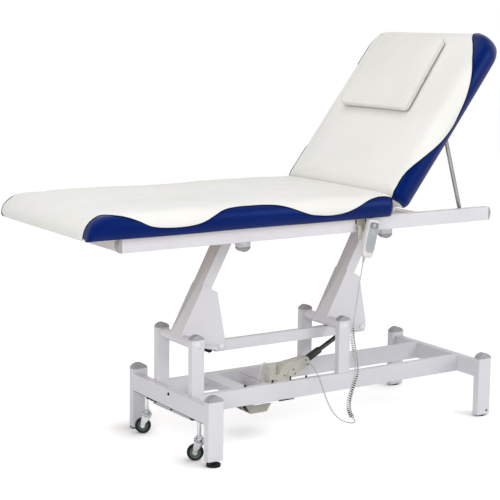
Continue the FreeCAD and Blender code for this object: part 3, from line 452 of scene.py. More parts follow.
# Where the seams run, in millimetres: along the pad, and up the section from the bottom edge.
SEAT_SEAM = [
    (0, 114), (64, 114), (80, 104), (94, 92.5), (120, 82.5), (146, 73), (179, 59), (214, 42), (250, 34),
    (287, 30.6), (324, 29.5), (371, 31.8), (401, 36.5), (432, 47), (462, 61.2), (492, 75), (546, 85),
    (602, 86.5), (664, 84.5), (715, 77.5), (748, 68.5), (781, 56.6), (815, 44.1), (848, 34.3), (882, 29.8),
    (916, 26.8), (950, 27.5), (984, 31.3), (1019, 40.5), (1054, 53.1), (1088, 68), (1120, 77.5), (1158, 82),
    (1190, 76), (1201, 69), (1211, 60),
]
BACK_SEAM = [
    (0, 76), (12, 90), (39, 94.5), (87, 94.7), (129, 84.2), (174, 68), (200, 58.8), (225, 49.4),
    (252, 40.5), (279, 32.2), (304, 27.2), (333, 23.2), (358, 22.8), (399, 29), (455, 39), (509, 55),
    (564, 78), (626, 115), (674, 144), (706, 149), (720, 132), (729, 95), (734, 60),
]
# The seat's near seam goes round the foot corner at one distance from the middle, up to a station.
WRAP_STATION, WRAP_Y = 0.064, 0.3015
# The far seams stay below the top's edge.
FAR_SEAM = 0.078


def smooth_through(pairs, places):
    """A soft curve through measured pairs: a cubic with averaged slopes."""
    x, y = np.array(pairs).T / 1000
    slopes = np.gradient(y, x)
    spot = np.clip(np.searchsorted(x, places, side="right") - 1, 0, len(x) - 2)
    span = x[spot + 1] - x[spot]
    t = (places - x[spot]) / span
    return ((1 + 2 * t) * (1 - t) ** 2 * y[spot] + t * (1 - t) ** 2 * span * slopes[spot]
            + t ** 2 * (3 - 2 * t) * y[spot + 1] + t ** 2 * (t - 1) * span * slopes[spot + 1])


def drop(long, gap, tall=None):
    """How far a rounded end still lies below its crest at a distance from its start."""
    tall = long if tall is None else tall
    return tall * (1 - sqrt(1 - (1 - gap / long) ** 2)) if gap < long else 0.0


def arc_through(first, middle, last, count):
    """Points of the circle through three places, ends included."""
    (ax, ay), (bx, by), (cx, cy) = first, middle, last
    d = 2 * (ax * (by - cy) + bx * (cy - ay) + cx * (ay - by))
    a, b, c = ax * ax + ay * ay, bx * bx + by * by, cx * cx + cy * cy
    centre = np.array([(a * (by - cy) + b * (cy - ay) + c * (ay - by)) / d,
                       (a * (cx - bx) + b * (ax - cx) + c * (bx - ax)) / d])
    spokes = [atan2(*(place - centre)[::-1]) for place in (first, middle, last)]
    turns = (np.diff(spokes) + pi) % (2 * pi) - pi
    angles = spokes[0] + (turns[0] + turns[1]) * np.linspace(0, 1, count)
    return centre + hypot(*(first - centre)) * np.stack([np.cos(angles), np.sin(angles)], axis=1)


def section(half, tall, crown):
    """The outline across a pad, near bottom edge over the top to the far one, with softened shoulders."""
    low, high = half - PAD_TUCK, half - PAD_SHOULDER
    side = arc_through((-low, 0), (-half, tall / 2), (-high, tall), 60)
    top = arc_through((-high, tall), (0, tall + crown), (high, tall), 400)
    line = np.concatenate([side, top[1:], (side * (-1, 1))[::-1][1:]])
    gone = along(line)
    places = np.linspace(0, gone[-1], int(gone[-1] / OUTLINE_STEP))
    even = np.stack([np.interp(places, gone, line[:, k]) for k in range(2)], axis=1)
    reach = int(3 * PAD_SOFT / OUTLINE_STEP)
    weights = np.exp(-0.5 * (np.arange(-reach, reach + 1) * OUTLINE_STEP / PAD_SOFT) ** 2)
    weights /= weights.sum()
    ends = np.concatenate([2 * even[0] - even[reach:0:-1], even, 2 * even[-1] - even[-2:-reach - 2:-1]])
    return np.stack([np.convolve(ends[:, k], weights, mode="valid") for k in range(2)], axis=1)


class Pad:
    """A box-topology pad: two side panels, a top panel between the seams, end panels and an underside.

    First and last round its ends: the radius in plan, and the length and height of the roll."""

    def __init__(self, length, edge, crown, first, last, seam, wraps=False, board_corner=0.0):
        half = PAD_WIDTH / 2
        count = int((length - 2 * PAD_INNER) / PAD_STEP)
        inner = np.linspace(PAD_INNER, length - PAD_INNER, count)
        stations = np.array(PAD_ENDS + list(inner) + [length - end for end in PAD_ENDS[::-1]])
        self.form = bmesh.new()
        self.sides, self.tops, self.lows = [], [], []
        for x, width in zip(stations, smooth_through(seam, stations)):
            far = length - x
            wide = half - drop(first[0], x) - drop(last[0], far)
            tall = edge - drop(first[1], x, first[2]) - drop(last[1], far, last[2])
            outline = section(wide, tall, crown * tall / edge)
            gone = along(outline)
            if wraps and x < WRAP_STATION:
                out = outline[:, 0].argmin()
                width = np.interp(-WRAP_Y, outline[out:, 0], gone[out:])
            other = min(width, FAR_SEAM * tall / edge)

            def run(start, span, count):
                places = [start + span * index / count for index in range(count + 1)]
                return [(x, *(np.interp(p, gone, outline[:, k]) for k in range(2))) for p in places]

            near, away = self.strip(run(0, width, PAD_ROWS)), self.strip(run(gone[-1], -other, PAD_ROWS))
            top = run(width, gone[-1] - width - other, PAD_COLUMNS)
            low = wide - PAD_TUCK
            ring = min(half - BOARD_INSET + 0.0003, low - 0.008)
            if board_corner:
                ring = min(ring, half - BOARD_INSET - drop(board_corner, max(0, far - BOARD_INSET)) + 0.0003)
            within = BOARD_INSET - 0.0005 < x < length - BOARD_INSET + 0.0005
            outer = [-low, -(low + ring + 0.0005) / 2, -ring - 0.0005]
            across = outer + list(np.linspace(-ring, ring, PAD_COLUMNS - 5)) + [-y for y in outer[::-1]]
            bottom = [(x, y, BOARD_THICK + 0.0004 if within and abs(y) <= ring + 0.0001 else 0)
                      for y in across]
            self.sides.append((near, away))
            self.tops.append(self.strip(top, near[-1], away[-1]))
            self.lows.append(self.strip(bottom, near[0], away[0]))
        self.panels()

    def strip(self, places, first=None, last=None):
        """New vertices for a row of places, with given ones at its ends."""
        if first is None:
            return [self.form.verts.new(place) for place in places]
        return [first] + [self.form.verts.new(place) for place in places[1:-1]] + [last]

    def quads(self, strips, look):
        for one, two in zip(strips, strips[1:]):
            for corners in zip(one, one[1:], two[1:], two):
                self.form.faces.new(corners).material_index = look

    def panels(self):
        for index in range(len(self.tops) - 1):
            pair = slice(index, index + 2)
            for side in (0, 1):
                self.quads([strips[side] for strips in self.sides[pair]], 1)
            self.quads(self.tops[pair], 0)
            self.quads(self.lows[pair], 2)
        for end in (0, -1):
            low, high, (near, away) = self.lows[end], self.tops[end], self.sides[end]
            rows = [low]
            for row in range(1, PAD_ROWS):
                share = row / PAD_ROWS
                near_off = near[row].co - low[0].co.lerp(high[0].co, share)
                away_off = away[row].co - low[-1].co.lerp(high[-1].co, share)
                line = []
                for column, (under, over) in enumerate(zip(low, high)):
                    across = column / PAD_COLUMNS
                    line.append(under.co.lerp(over.co, share) + near_off * (1 - across) + away_off * across)
                rows.append(self.strip(line, near[row], away[row]))
            self.quads(rows + [high], 0)


def swell(item, pinned, pressure, most):
    """Blows a pad up a little with Blender's cloth; the move of each point is capped softly."""
    rest = np.array([vertex.co for vertex in item.data.vertices])
    group = item.vertex_groups.new(name="pinned")
    group.add(pinned, 1.0, "REPLACE")
    cloth = item.modifiers.new("cloth", "CLOTH")
    for name, value in dict(quality=4, mass=0.25, tension_stiffness=12, compression_stiffness=12,
                            shear_stiffness=6, bending_stiffness=0.8, use_pressure=True,
                            uniform_pressure_force=pressure, vertex_group_mass="pinned").items():
        setattr(cloth.settings, name, value)
    cloth.settings.effector_weights.gravity = 0
    cloth.collision_settings.use_collision = False
    cloth.point_cache.frame_end = SWELL_FRAMES
    for number in range(1, SWELL_FRAMES + 1):
        scene.frame_set(number)
    shown = item.evaluated_get(bpy.context.evaluated_depsgraph_get())
    moves = np.array([vertex.co for vertex in shown.to_mesh().vertices]) - rest
    shown.to_mesh_clear()
    item.modifiers.remove(cloth)
    scene.frame_set(1)
    far = np.linalg.norm(moves, axis=1)[:, None]
    moves *= most * np.tanh(far / most) / np.maximum(far, 1e-9)
    item.data.vertices.foreach_set("co", (rest + moves).astype(np.float32).ravel())
    item.vertex_groups.remove(group)
    item.data.update()


def finish_pad(item, node, place):
    item.data.transform(place)
    subdivide(item)
    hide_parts(node)


def upholster(name, node, body, pad, place, held=0.0):
    """Sews a two-colour pad, swells it, pulls its seams in and lays a thin welt along them, near black:
    partly the seam's own dark edge, partly painted shade along it.

    The part of its lower end that is held doesn't swell."""
    pad.form.verts.index_update()
    seam = [strips[side][-1].index for strips in pad.sides for side in (0, 1)]
    pinned = [vertex.index for strip in pad.lows for vertex in strip]
    pinned += [vertex.index for vertex in pad.form.verts if vertex.co.x < held and vertex.co.z < 0.05]
    item = built(name, pad.form, body, "white_vinyl", "white_vinyl", "navy_vinyl", "white_vinyl", crease=180)
    swell(item, pinned + seam, 2.5, 0.006)
    item.data.update()
    sewn = [item.data.vertices[index] for index in seam]
    for vertex, normal in zip(sewn, [vertex.normal.copy() for vertex in sewn]):
        vertex.co -= normal * SEAM_DEPTH
    finish_pad(item, node, place)
    spots = np.array([item.data.vertices[index].co for index in seam])
    for side, label in enumerate((name + "_piping_near", name + "_piping_far")):
        tube(label, spots[side::2], PIPING_RADIUS, body, "white_vinyl", "piping_navy_and_shade", sides=8)


BACK_PLACE = Matrix(((0.60876, 0, -0.79335, 0.39255), (0, 1, 0, 0), (0.79335, 0, 0.60876, 0.84788),
                     (0, 0, 0, 1)))


def seat_and_back():
    foot, rail_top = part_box("seat_pad")[0][0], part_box("seat_board")[0][2]
    pad = Pad(1.211, 0.08, 0.005, (0.016, 0.078, 0.074), (0.024, 0.022, 0.022), SEAT_SEAM, wraps=True)
    upholster("seat_cushion", "seat_pad", "top_frame", pad, shift((foot, 0, rail_top)))
    pad = Pad(0.734, 0.086, 0.006, (0.024, 0.032, 0.032), (0.088, 0.03, 0.03), BACK_SEAM, board_corner=0.088)
    upholster("back_cushion", "back_pad", "backrest", pad, BACK_PLACE, held=0.01)


def pillow():
    """A thin loose head cushion with crisp sewn edges."""
    long, wide, edge, crown, corner, undercut = 0.33, 0.4, 0.035, 0.005, 0.02, 0.012
    columns, rows, layers = 34, 28, 5
    form = bmesh.new()
    grid = {}

    def plan(u, v):
        """A rounded rectangle for shares -1..1 each way, its near side tapered."""
        x, y = u * long / 2, v * wide / 2
        over_x, over_y = abs(x) - (long / 2 - corner), abs(y) - (wide / 2 - corner)
        if over_x > 0 and over_y > 0:
            reach = max(over_x, over_y) / hypot(over_x, over_y)
            x = copysign(long / 2 - corner + over_x * reach, x)
            y = copysign(wide / 2 - corner + over_y * reach, y)
        return x, y * (1 - 0.062 * (u + 1)) if y < 0 else y

    shares_u, shares_v = ([sin(pi / 2 * t) * 0.25 + t * 0.75 for t in np.linspace(-1, 1, count + 1)]
                          for count in (rows, columns))
    for level, inset in ((0, 1 - 2 * undercut / long), (1, 1)):
        for i, u in enumerate(shares_u):
            for j, v in enumerate(shares_v):
                x, y = plan(u, v)
                z = edge + crown * (1 - u ** 4) * (1 - v ** 4) if level else 0.0
                grid[level, i, j] = form.verts.new((x * inset, y * inset, z))
        for i in range(rows):
            for j in range(columns):
                corners = (i, j), (i + 1, j), (i + 1, j + 1), (i, j + 1)
                form.faces.new([grid[level, a, b] for a, b in corners])
    rim = [(i, 0) for i in range(rows)] + [(rows, j) for j in range(columns)]
    rim += [(i, columns) for i in range(rows, 0, -1)] + [(0, j) for j in range(columns, 0, -1)]
    walls = []
    for i, j in rim:
        low, high = grid[0, i, j], grid[1, i, j]
        out = Vector((low.co.x / (long / 2), low.co.y / (wide / 2), 0)).normalized()
        column = [low]
        for layer in range(1, layers):
            share = layer / layers
            bulge = 0.0016 * sin(pi * share) - undercut * (1 - share) ** 3
            x, y, z = high.co
            column.append(form.verts.new((x + out.x * bulge, y + out.y * bulge, z * share)))
        walls.append(column + [high])
    # The wall's lowest band takes the dark look: painted shade in the crevice under the pillow's edge.
    for one, two in zip(walls, walls[1:] + walls[:1]):
        for layer, corners in enumerate(zip(one, one[1:], two[1:], two)):
            form.faces.new(corners).material_index = 0 if layer else 1
    form.verts.index_update()
    seam = {column[-1].index for column in walls}
    pinned = [grid[0, i, j].index for i in range(rows + 1) for j in range(columns + 1)]
    item = built("head_cushion", form, "backrest", "white_vinyl", "pillow_vinyl", "pillow_crevice_shade", crease=180)
    swell(item, pinned + list(seam), 1.4, 0.0035)
    sharp = [0.7 if set(edge.vertices) <= seam else 0.0 for edge in item.data.edges]
    item.data.attributes.new("crease_edge", "FLOAT", "EDGE").data.foreach_set("value", sharp)
    finish_pad(item, "pillow", BACK_PLACE @ shift((0.505, 0.026, 0.0953)))


def facing(centre, out, up=(0, 0, 1)):
    """A placement at a point, its Z along a direction."""
    z = Vector(out).normalized()
    x = Vector(up).cross(z).normalized()
    place = Matrix((x, z.cross(x), z)).transposed().to_4x4()
    place.translation = centre
    return place


def lathe(form, profile, place, sides, look=0):
    """Turns a profile of radius and height pairs about the placement's Z axis."""
    rings = []
    for radius, height in profile:
        count = sides if radius > 1e-6 else 1
        angles = [2 * pi * index / count for index in range(count)]
        rings.append([form.verts.new(place @ Vector((radius * cos(a), radius * sin(a), height)))
                      for a in angles])
    for one, two in zip(rings, rings[1:]):
        for index in range(sides):
            picks = ((one, index), (one, index + 1), (two, index + 1), (two, index))
            corners = list(dict.fromkeys(ring[spot % len(ring)] for ring, spot in picks))
            if len(corners) > 2:
                form.faces.new(corners).material_index = look


def slab(form, outline, low, high, place, edge=0.0006, look=0, holes=()):
    """A plate with an outline and holes in the placement's XY plane, its sharp edges broken."""
    part = bmesh.new()
    rims = []
    for loop in (outline, *holes):
        dots = [part.verts.new((x, y, low)) for x, y in loop]
        rims += [part.edges.new(pair) for pair in zip(dots, dots[1:] + dots[:1])]
    if holes:
        bmesh.ops.triangle_fill(part, edges=rims, use_beauty=True)
    else:
        part.faces.new(dots)
    lifted = bmesh.ops.extrude_face_region(part, geom=part.faces[:])["geom"]
    dots = [item for item in lifted if isinstance(item, bmesh.types.BMVert)]
    bmesh.ops.translate(part, vec=(0, 0, high - low), verts=dots)
    bmesh.ops.recalc_face_normals(part, faces=part.faces[:])
    sharp = [e for e in part.edges if e.calc_face_angle(0) > 0.6]
    bmesh.ops.bevel(part, geom=sharp, offset=edge, segments=2, profile=0.5, affect="EDGES")
    for face in part.faces:
        face.material_index = look
    part.transform(place)
    spare = bpy.data.meshes.new("spare")
    part.to_mesh(spare)
    part.free()
    form.from_mesh(spare)
    bpy.data.meshes.remove(spare)


def rounded(width, height, radius, steps=5):
    """The outline of a rounded rectangle about the origin."""
    points = []
    for quarter, (right, up) in enumerate(((1, 1), (-1, 1), (-1, -1), (1, -1))):
        for step in range(steps + 1):
            angle = pi / 2 * (quarter + step / steps)
            points.append((right * (width / 2 - radius) + radius * cos(angle),
                           up * (height / 2 - radius) + radius * sin(angle)))
    return points


def oblong(left, right, low, high):
    return [(left, low), (right, low), (right, high), (left, high)]


def screw(form, place, radius, tall, sides=6):
    """A bolt head on its washer."""
    lathe(form, [(0, 0), (radius * 1.4, 0), (radius * 1.4, tall * 0.18), (radius * 1.3, tall * 0.26),
                 (radius, tall * 0.26)], place, 24)
    lathe(form, [(radius, tall * 0.2), (radius, tall * 0.8), (radius * 0.82, tall), (0, tall)], place, sides)


# Sheet across the X axis: outline in Y and Z.
ALONG_X = Matrix(((0, 0, 1, 0), (1, 0, 0, 0), (0, 1, 0, 0), (0, 0, 0, 1)))
# Sheet across the Y axis: outline in X and Z, thickness towards -Y.
ALONG_Y = Matrix(((1, 0, 0, 0), (0, 0, -1, 0), (0, 1, 0, 0), (0, 0, 0, 1)))
FOOT, NEAR = (-1, 0, 0), (0, -1, 0)
# Half profiles of a caster's wheel: radius and distance from its middle.
TYRE_HALF = [
    (0.02, 0.0086), (0.0212, 0.0097), (0.0246, 0.01), (0.0272, 0.0091), (0.0287, 0.007), (0.02935, 0.0047),
    (0.0294, 0.004), (0.0286, 0.0036), (0.0286, 0.003), (0.0295, 0.0026),
]
HUB_HALF = [
    (0.0093, 0.0104), (0.0101, 0.0064), (0.016, 0.0058), (0.0174, 0.0088), (0.0194, 0.0096),
    (0.0203, 0.0086),
]
BOSS_HALF = [(0.0044, 0.011), (0.0085, 0.011), (0.0094, 0.0103)]


def caster(side, y):
    """A swivel caster: tyre with tread grooves, dished hub, pressed fork, ball race, nut and stem."""
    swivel, wheel, label = side + "_caster_swivel", side + "_caster_wheel", side + "_caster_"
    place = Matrix(((-0.8387, -0.5446, 0, -0.3795), (0.5446, -0.8387, 0, y), (0, 0, 1, 0), (0, 0, 0, 1)))
    axle = place @ shift((0.014, 0, 0.0295)) @ ALONG_Y @ Matrix.Rotation(pi, 4, "Y")
    tyre, hub, fork = bmesh.new(), bmesh.new(), bmesh.new()
    lathe(tyre, TYRE_HALF + [(r, -h) for r, h in TYRE_HALF[::-1]] + TYRE_HALF[:1], axle, 56)
    for way in (1, -1):
        lathe(hub, [(r, way * h) for r, h in HUB_HALF], axle, 48)
        lathe(hub, [(r, way * h) for r, h in BOSS_HALF], axle, 48, 1)
        for spoke in range(6):
            turn = axle @ Matrix.Rotation(spoke * pi / 3, 4, "Z") @ shift((0.013, 0, 0))
            slab(hub, rounded(0.0062, 0.0022, 0.001, 3), way * 0.005, way * 0.0078, turn, 0.0004)
    lathe(hub, [(0.0203, 0.0086), (0.0203, -0.0086)], axle, 48)
    lathe(hub, [(0.0044, -0.011), (0.0044, 0.011)], axle, 48, 1)
    for form in (tyre, hub):
        bmesh.ops.remove_doubles(form, verts=form.verts[:], dist=1e-6)
    built(side + "_tyre", tyre, wheel, "tyre_rubber", node=label + "tyre")
    built(side + "_hub", hub, wheel, "hub_plastic", "hub_plastic", "boss_plastic", node=label + "hub")
    foot = [(0.014 + 0.007 * cos(a), 0.0295 + 0.007 * sin(a)) for a in np.linspace(pi, 2 * pi, 15)]
    cheek = [(-0.0158, 0.069), (-0.015, 0.061), (-0.006, 0.05), (0.004, 0.04)] + foot + [
        (0.0212, 0.042), (0.0196, 0.056), (0.0158, 0.069)]
    for low in (-0.0155, 0.0125):
        slab(fork, cheek[::-1], low, low + 0.003, place @ ALONG_Y, 0.0007)
    slab(fork, rounded(0.034, 0.031, 0.006), 0.0622, 0.0668, place, 0.0012)
    lathe(fork, [(0, 0.0655), (0.0165, 0.0655), (0.0186, 0.0672), (0.02, 0.07), (0.02, 0.0724),
                 (0.0174, 0.0736), (0.0174, 0.0746), (0.0192, 0.0756), (0.0192, 0.078), (0.0176, 0.0798),
                 (0.01, 0.0804)], place, 44)
    lathe(fork, [(0.0118, 0.08), (0.0126, 0.0808), (0.0126, 0.0876), (0.0114, 0.0886), (0.008, 0.0886)],
          place, 6)
    lathe(fork, [(0.008, 0.087), (0.008, 0.1455), (0.0072, 0.1486), (0, 0.1486)], place, 32, 1)
    built(side + "_fork", fork, swivel, "zinc", "zinc", "bright_chrome", node=label + "fork")


def caster_bar_fittings():
    """Under the foot cross tube: packing strip, clamps, flange and bolts along the caster bar."""
    form = bmesh.new()
    slab(form, oblong(-0.25, 0.25, 0.1466, 0.1491), -0.3992, -0.3905, ALONG_X, 0.0003)
    for y in (-0.163, 0.123, 0.15):
        slab(form, oblong(y - 0.009, y + 0.009, 0.1405, 0.149), -0.3985, -0.39, ALONG_X)
    for y in (0.0938, -0.0222):
        screw(form, facing((-0.3938, y, 0.1445), FOOT), 0.0034, 0.006)
    screw(form, facing((-0.4005, -0.009, 0.197), FOOT), 0.0042, 0.0036)
    built("bar_clamps", form, "base", "black_rubber")
    form = bmesh.new()
    for far, near, *span, look in ((0.147, 0.147, -0.394, -0.3915, 0), (0.1345, 0.1395, -0.395, -0.39, 1)):
        outline = [(0.115, 0.1325), (0.115, far), (-0.165, near), (-0.165, 0.1375)]
        slab(form, outline, *span, ALONG_X, 0.0004, look)
    slab(form, rounded(0.02, 0.03, 0.002, 3), 0.1362, 0.1412, shift((-0.3795, -0.15, 0)))
    built("bar_flange", form, "base", "zinc", "bar_paint", "grey_cap")


HANDSET_LEAN = radians(12)
HANDSET_PLACE = shift((0.2285, -0.3365, 0.753)) @ Matrix.Rotation(HANDSET_LEAN, 4, "Y")
# Along the handset: height, half width and half depth.
HANDSET_SECTIONS = [
    (-0.069, 0.007, 0.005), (-0.0687, 0.012, 0.0076), (-0.0668, 0.0162, 0.0092), (-0.062, 0.0196, 0.0104),
    (-0.054, 0.0222, 0.0112), (-0.04, 0.024, 0.0118), (0, 0.0248, 0.012), (0.04, 0.025, 0.012),
    (0.054, 0.0248, 0.0119), (0.062, 0.0236, 0.0115), (0.0662, 0.0214, 0.0107), (0.0683, 0.0184, 0.0096),
    (0.069, 0.012, 0.007),
]
HANDSET_SIDES, BORE_RADIUS, UP_KEY, DOWN_KEY = 40, 0.0069, 0.048, 0.022


def handset():
    """The hand control: a rounded shell, key film, direction marks and a ribbed cord relief."""
    form = bmesh.new()
    rings = []
    for height, wide, deep in HANDSET_SECTIONS:
        ring = []
        for index in range(HANDSET_SIDES):
            angle = 2 * pi * index / HANDSET_SIDES
            across, out = [copysign(abs(v) ** 0.42, v) for v in (cos(angle), sin(angle))]
            well = out < 0 and abs(across) < 0.2 and 0 <= height <= 0.054
            ring.append(form.verts.new((wide * across, (0.01 if well else deep) * out, height)))
        rings.append(ring)
    skin(form, rings)
    form.transform(HANDSET_PLACE)
    subdivide(built("handset_shell", form, "top_frame", "handset_shell", node="handset_body", crease=180))
    face = HANDSET_PLACE @ ALONG_Y
    top = [(0.0198 * x, 0.05 + 0.009 * z) for x, z in ((1, 0), (0.97, 0.55), (0.84, 0.85), (0.6, 1.0))]
    low = [(-0.0198, -0.034), (-0.018, -0.041), (-0.0118, -0.0485)]
    outline = top + [(-x, z) for x, z in top[::-1]] + low + [(-x, z) for x, z in low[::-1]]
    form = bmesh.new()
    bore = [(BORE_RADIUS * cos(a), BORE_RADIUS * sin(a)) for a in np.linspace(0, 2 * pi, 33)[:-1]]
    bores = [[(x, z + rise) for x, z in bore] for rise in (DOWN_KEY, UP_KEY)]
    slab(form, outline[::-1], 0.0103, 0.01262, face, 0.0003, 0, bores)
    slab(form, rounded(0.034, 0.02, 0.004), 0.012, 0.0127, face @ shift((0, UP_KEY, 0)), 0.0002, 1, [bore])
    built("key_film", form, "top_frame", "keypad_film", "keypad_film", "panel_grey", node="handset_keypad",
          crease=0)
    for name, height, way in (("up", UP_KEY, 1), ("down", DOWN_KEY, -1)):
        form = bmesh.new()
        mark = [(-0.003, -0.0018 * way), (0.003, -0.0018 * way), (0, 0.003 * way)]
        slab(form, mark[::way], 0.0128, 0.01335, face @ shift((0, height, 0)), 0.0002)
        built("mark_" + name, form, "button_" + name, "button_plastic", "symbol_ink", crease=0)
    form = bmesh.new()
    ribs = [(0, 0), (0.0032, 0)]
    for rib in range(5):
        rise, wide = 0.0012 + 0.0033 * rib, 0.0033 + 0.0004 * rib
        ribs += [(wide, rise), (wide + 0.0004, rise + 0.0004), (wide + 0.0004, rise + 0.0019),
                 (wide - 0.0004, rise + 0.0022)]
    ribs += [(0.0055, 0.0178), (0.0055, 0.0205), (0, 0.0205)]
    lathe(form, ribs, facing(TOP_ROUTE[0], (sin(HANDSET_LEAN), 0, cos(HANDSET_LEAN)), (0, 1, 0)), 28)
    built("cord_relief", form, "top_frame", "cord_grey", node="handset_relief", crease=180)


def handset_hook():
    """The bent holder: a plate on the rail, two prongs and the straps that tie it."""
    form = bmesh.new()
    slab(form, rounded(0.07, 0.034, 0.003), 0, 0.003, facing((0.2235, -0.3035, 0.7975), NEAR))
    prong = [(-0.3062, 0.805), (-0.316, 0.8015), (-0.3205, 0.794), (-0.3214, 0.75),
             (-0.3188, 0.75), (-0.3178, 0.7925), (-0.3146, 0.7985), (-0.3062, 0.8015)]
    for left, right in ((0.189, 0.205), (0.2275, 0.2445)):
        slab(form, prong, left, right, ALONG_X)
    for x in (0.211, 0.25):
        lathe(form, [(0.0036, 0), (0.0036, 0.0008), (0.0022, 0.0018), (0, 0.0018)],
              facing((x, -0.3065, 0.79), NEAR), 20, 1)
    for x in (0.1895, 0.232):
        slab(form, oblong(x - 0.0017, x + 0.0017, 0.804, 0.824), 0.3034, 0.3075, ALONG_Y, 0.0004, 1)
    built("handset_holder", form, "top_frame", "beige_plastic", "hook_plastic", "black_plastic",
          node="handset_hook", crease=0)


DOME = [
    (0.0126, 0), (0.0126, 0.0016), (0.0121, 0.004), (0.0106, 0.0064), (0.0082, 0.0082), (0.0044, 0.0094),
    (0, 0.0097),
]
# The actuator: its rear pivot's place on the housing's near face, its axis and the way up from it.
ACTUATOR_FOOT, ACTUATOR_Y = Vector((0.0545, -0.002, 0.158)), 0.018
ACTUATOR_WAY, ACTUATOR_UP = Vector((0.889206, 0, 0.457507)), Vector((-0.457507, 0, 0.889206))


def lifting_gear():
    """Domed pin covers, a rubber stop, and the actuator's sleeve, motor cover and screws."""
    for name, x in (("foot_arm", -0.2005), ("head_arm", 0.4335)):
        form = bmesh.new()
        for way in (-1, 1):
            lathe(form, DOME, facing((x, way * 0.039, 0.353), (0, way, 0)), 32)
        built(name + "_pin_domes", form, name, "frame_paint", "dome_white", crease=180)
    form = bmesh.new()
    slab(form, [(-0.268, 0.356), (-0.262, 0.3405), (-0.247, 0.3325), (-0.237, 0.3335), (-0.23, 0.347)],
         -0.033, 0.033, ALONG_Y, 0.0015)
    built("foot_arm_stop", form, "foot_arm", "black_rubber", crease=0)
    rod = facing((ACTUATOR_FOOT.x, ACTUATOR_Y, ACTUATOR_FOOT.z), ACTUATOR_WAY, (0, 1, 0))
    form = bmesh.new()
    lathe(form, [(0.0125, 0.178), (0.0125, 0.244), (0.0133, 0.2446), (0.0133, 0.2478), (0.012, 0.2488),
                 (0.0096, 0.2488), (0.0096, 0.178)], rod, 40)
    for index in range(4):
        turn = rod @ Matrix.Rotation(pi / 2 * index + pi / 4, 4, "Z") @ shift((0.0125, 0, 0))
        slab(form, rounded(0.0028, 0.005, 0.001, 3), 0.178, 0.244, turn, 0.0004)
    built("rod_sleeve", form, "actuator_body", "black_plastic")
    form = bmesh.new()
    ribs = [(0, 0.2036), (0.019, 0.2036), (0.019, 0.2072)]
    for rib in range(6):
        rise = 0.2084 + 0.0046 * rib
        ribs += [(0.0174, rise), (0.0181, rise + 0.0008), (0.0181, rise + 0.0028), (0.0174, rise + 0.0036)]
    ribs += [(0.0174, 0.2372), (0.0188, 0.238), (0.0188, 0.2406), (0.017, 0.2432), (0.011, 0.244), (0, 0.244)]
    lathe(form, ribs, shift((0.0565, ACTUATOR_Y, 0)), 40)
    built("motor_cover", form, "actuator_body", "beige_plastic", "cream_plastic", node="actuator_motor")
    form = bmesh.new()
    for distance, rise in ((0.06, 0.012), (0.104, 0.01), (0.104, -0.009), (0.168, 0.01), (0.168, -0.01)):
        spot = ACTUATOR_FOOT + ACTUATOR_WAY * distance + ACTUATOR_UP * rise
        screw(form, facing(spot, NEAR), 0.0022, 0.0016, 20)
    lean = Matrix.Rotation(-atan2(ACTUATOR_WAY.z, ACTUATOR_WAY.x), 4, "Z")
    slab(form, oblong(-0.17, -0.06, -0.0004, 0.0004), 0, 0.0003, facing(ACTUATOR_FOOT, NEAR) @ lean, 0.0001)
    built("housing_screws", form, "actuator_body", "black_plastic")


def control_gear():
    """The control box's socket panel, its plugs' collars and a grommet for the motor's cable."""
    form = bmesh.new()
    panel = facing((-0.0945, 0, 0.1296), FOOT)
    slab(form, rounded(0.086, 0.028, 0.002), -0.0002, 0.0014, panel)
    lower = facing((-0.0868, 0, 0.1028), (-0.836, 0, -0.548))
    slab(form, rounded(0.084, 0.028, 0.002), -0.0002, 0.0016, lower)
    for y, wide, look in ((-0.033, 0.018, 0), (-0.018, 0.008, 1), (-0.004, 0.016, 0), (0.014, 0.014, 0),
                          (0.029, 0.01, 1)):
        slab(form, rounded(wide, 0.019, 0.002), 0.001, 0.0075, lower @ shift((-y, 0.002, 0)), 0.0008, look)
    for y in (-0.014, 0.03):
        lathe(form, [(0.0088, 0.001), (0.0088, 0.0034), (0.0076, 0.004), (0.007, 0.004)],
              panel @ shift((-y, 0, 0)), 32)
    lathe(form, [(0.0062, 0.1489), (0.0062, 0.1512), (0.0046, 0.153), (0.0026, 0.1532)],
          shift((-0.008, 0.01, 0)), 28)
    built("control_sockets", form, "base", "black_plastic", "black_plastic", "cream_plastic")


def base_fittings():
    """Small fasteners and trims of the base frame."""
    form = bmesh.new()
    for x, top in ((-0.145, 0.2186), (-0.0267, 0.2215), (0.052, 0.2245), (0.1225, 0.2195)):
        bolt = [(0, 0.2128), (0.0046, 0.2128), (0.0046, 0.2142), (0.0022, 0.2146), (0.0022, top - 0.0056),
                (0.0036, top - 0.005), (0.0036, top - 0.001), (0.003, top), (0, top)]
        lathe(form, bolt, shift((x, -0.1135, 0)), 24)
    slab(form, oblong(-0.012, 0.0545, 0.1452, 0.1488), 0.1349, 0.1366, ALONG_Y, 0.0003)
    slab(form, rounded(0.0298, 0.0298, 0.002, 3), 0.003, 0.0064, shift((-0.3855, 0.2675, 0)))
    for x, y, out in ((0.8635, -0.2825, -1), (0.8635, 0.2825, 1), (-0.3855, 0.2825, 1)):
        screw(form, facing((x, y, 0.021), (0, out, 0)), 0.003, 0.0026)
    built("base_fasteners", form, "base", "black_rubber")


def camera():
    data = bpy.data.cameras.new("camera")
    data.lens, data.sensor_width = 102.26, 36
    data.shift_x, data.shift_y = -0.00358, -0.0434
    item = new_object("camera", data)
    yaw, pitch, roll = radians(33.14), radians(8.7), radians(0.7)
    place = shift((-2.8321, -4.2605, 1.5434))
    for angle, axis in ((-yaw, "Z"), (pi / 2 - pitch, "X"), (roll, "Z")):
        place = place @ Matrix.Rotation(angle, 4, axis)
    item.matrix_world = place
    scene.camera = item


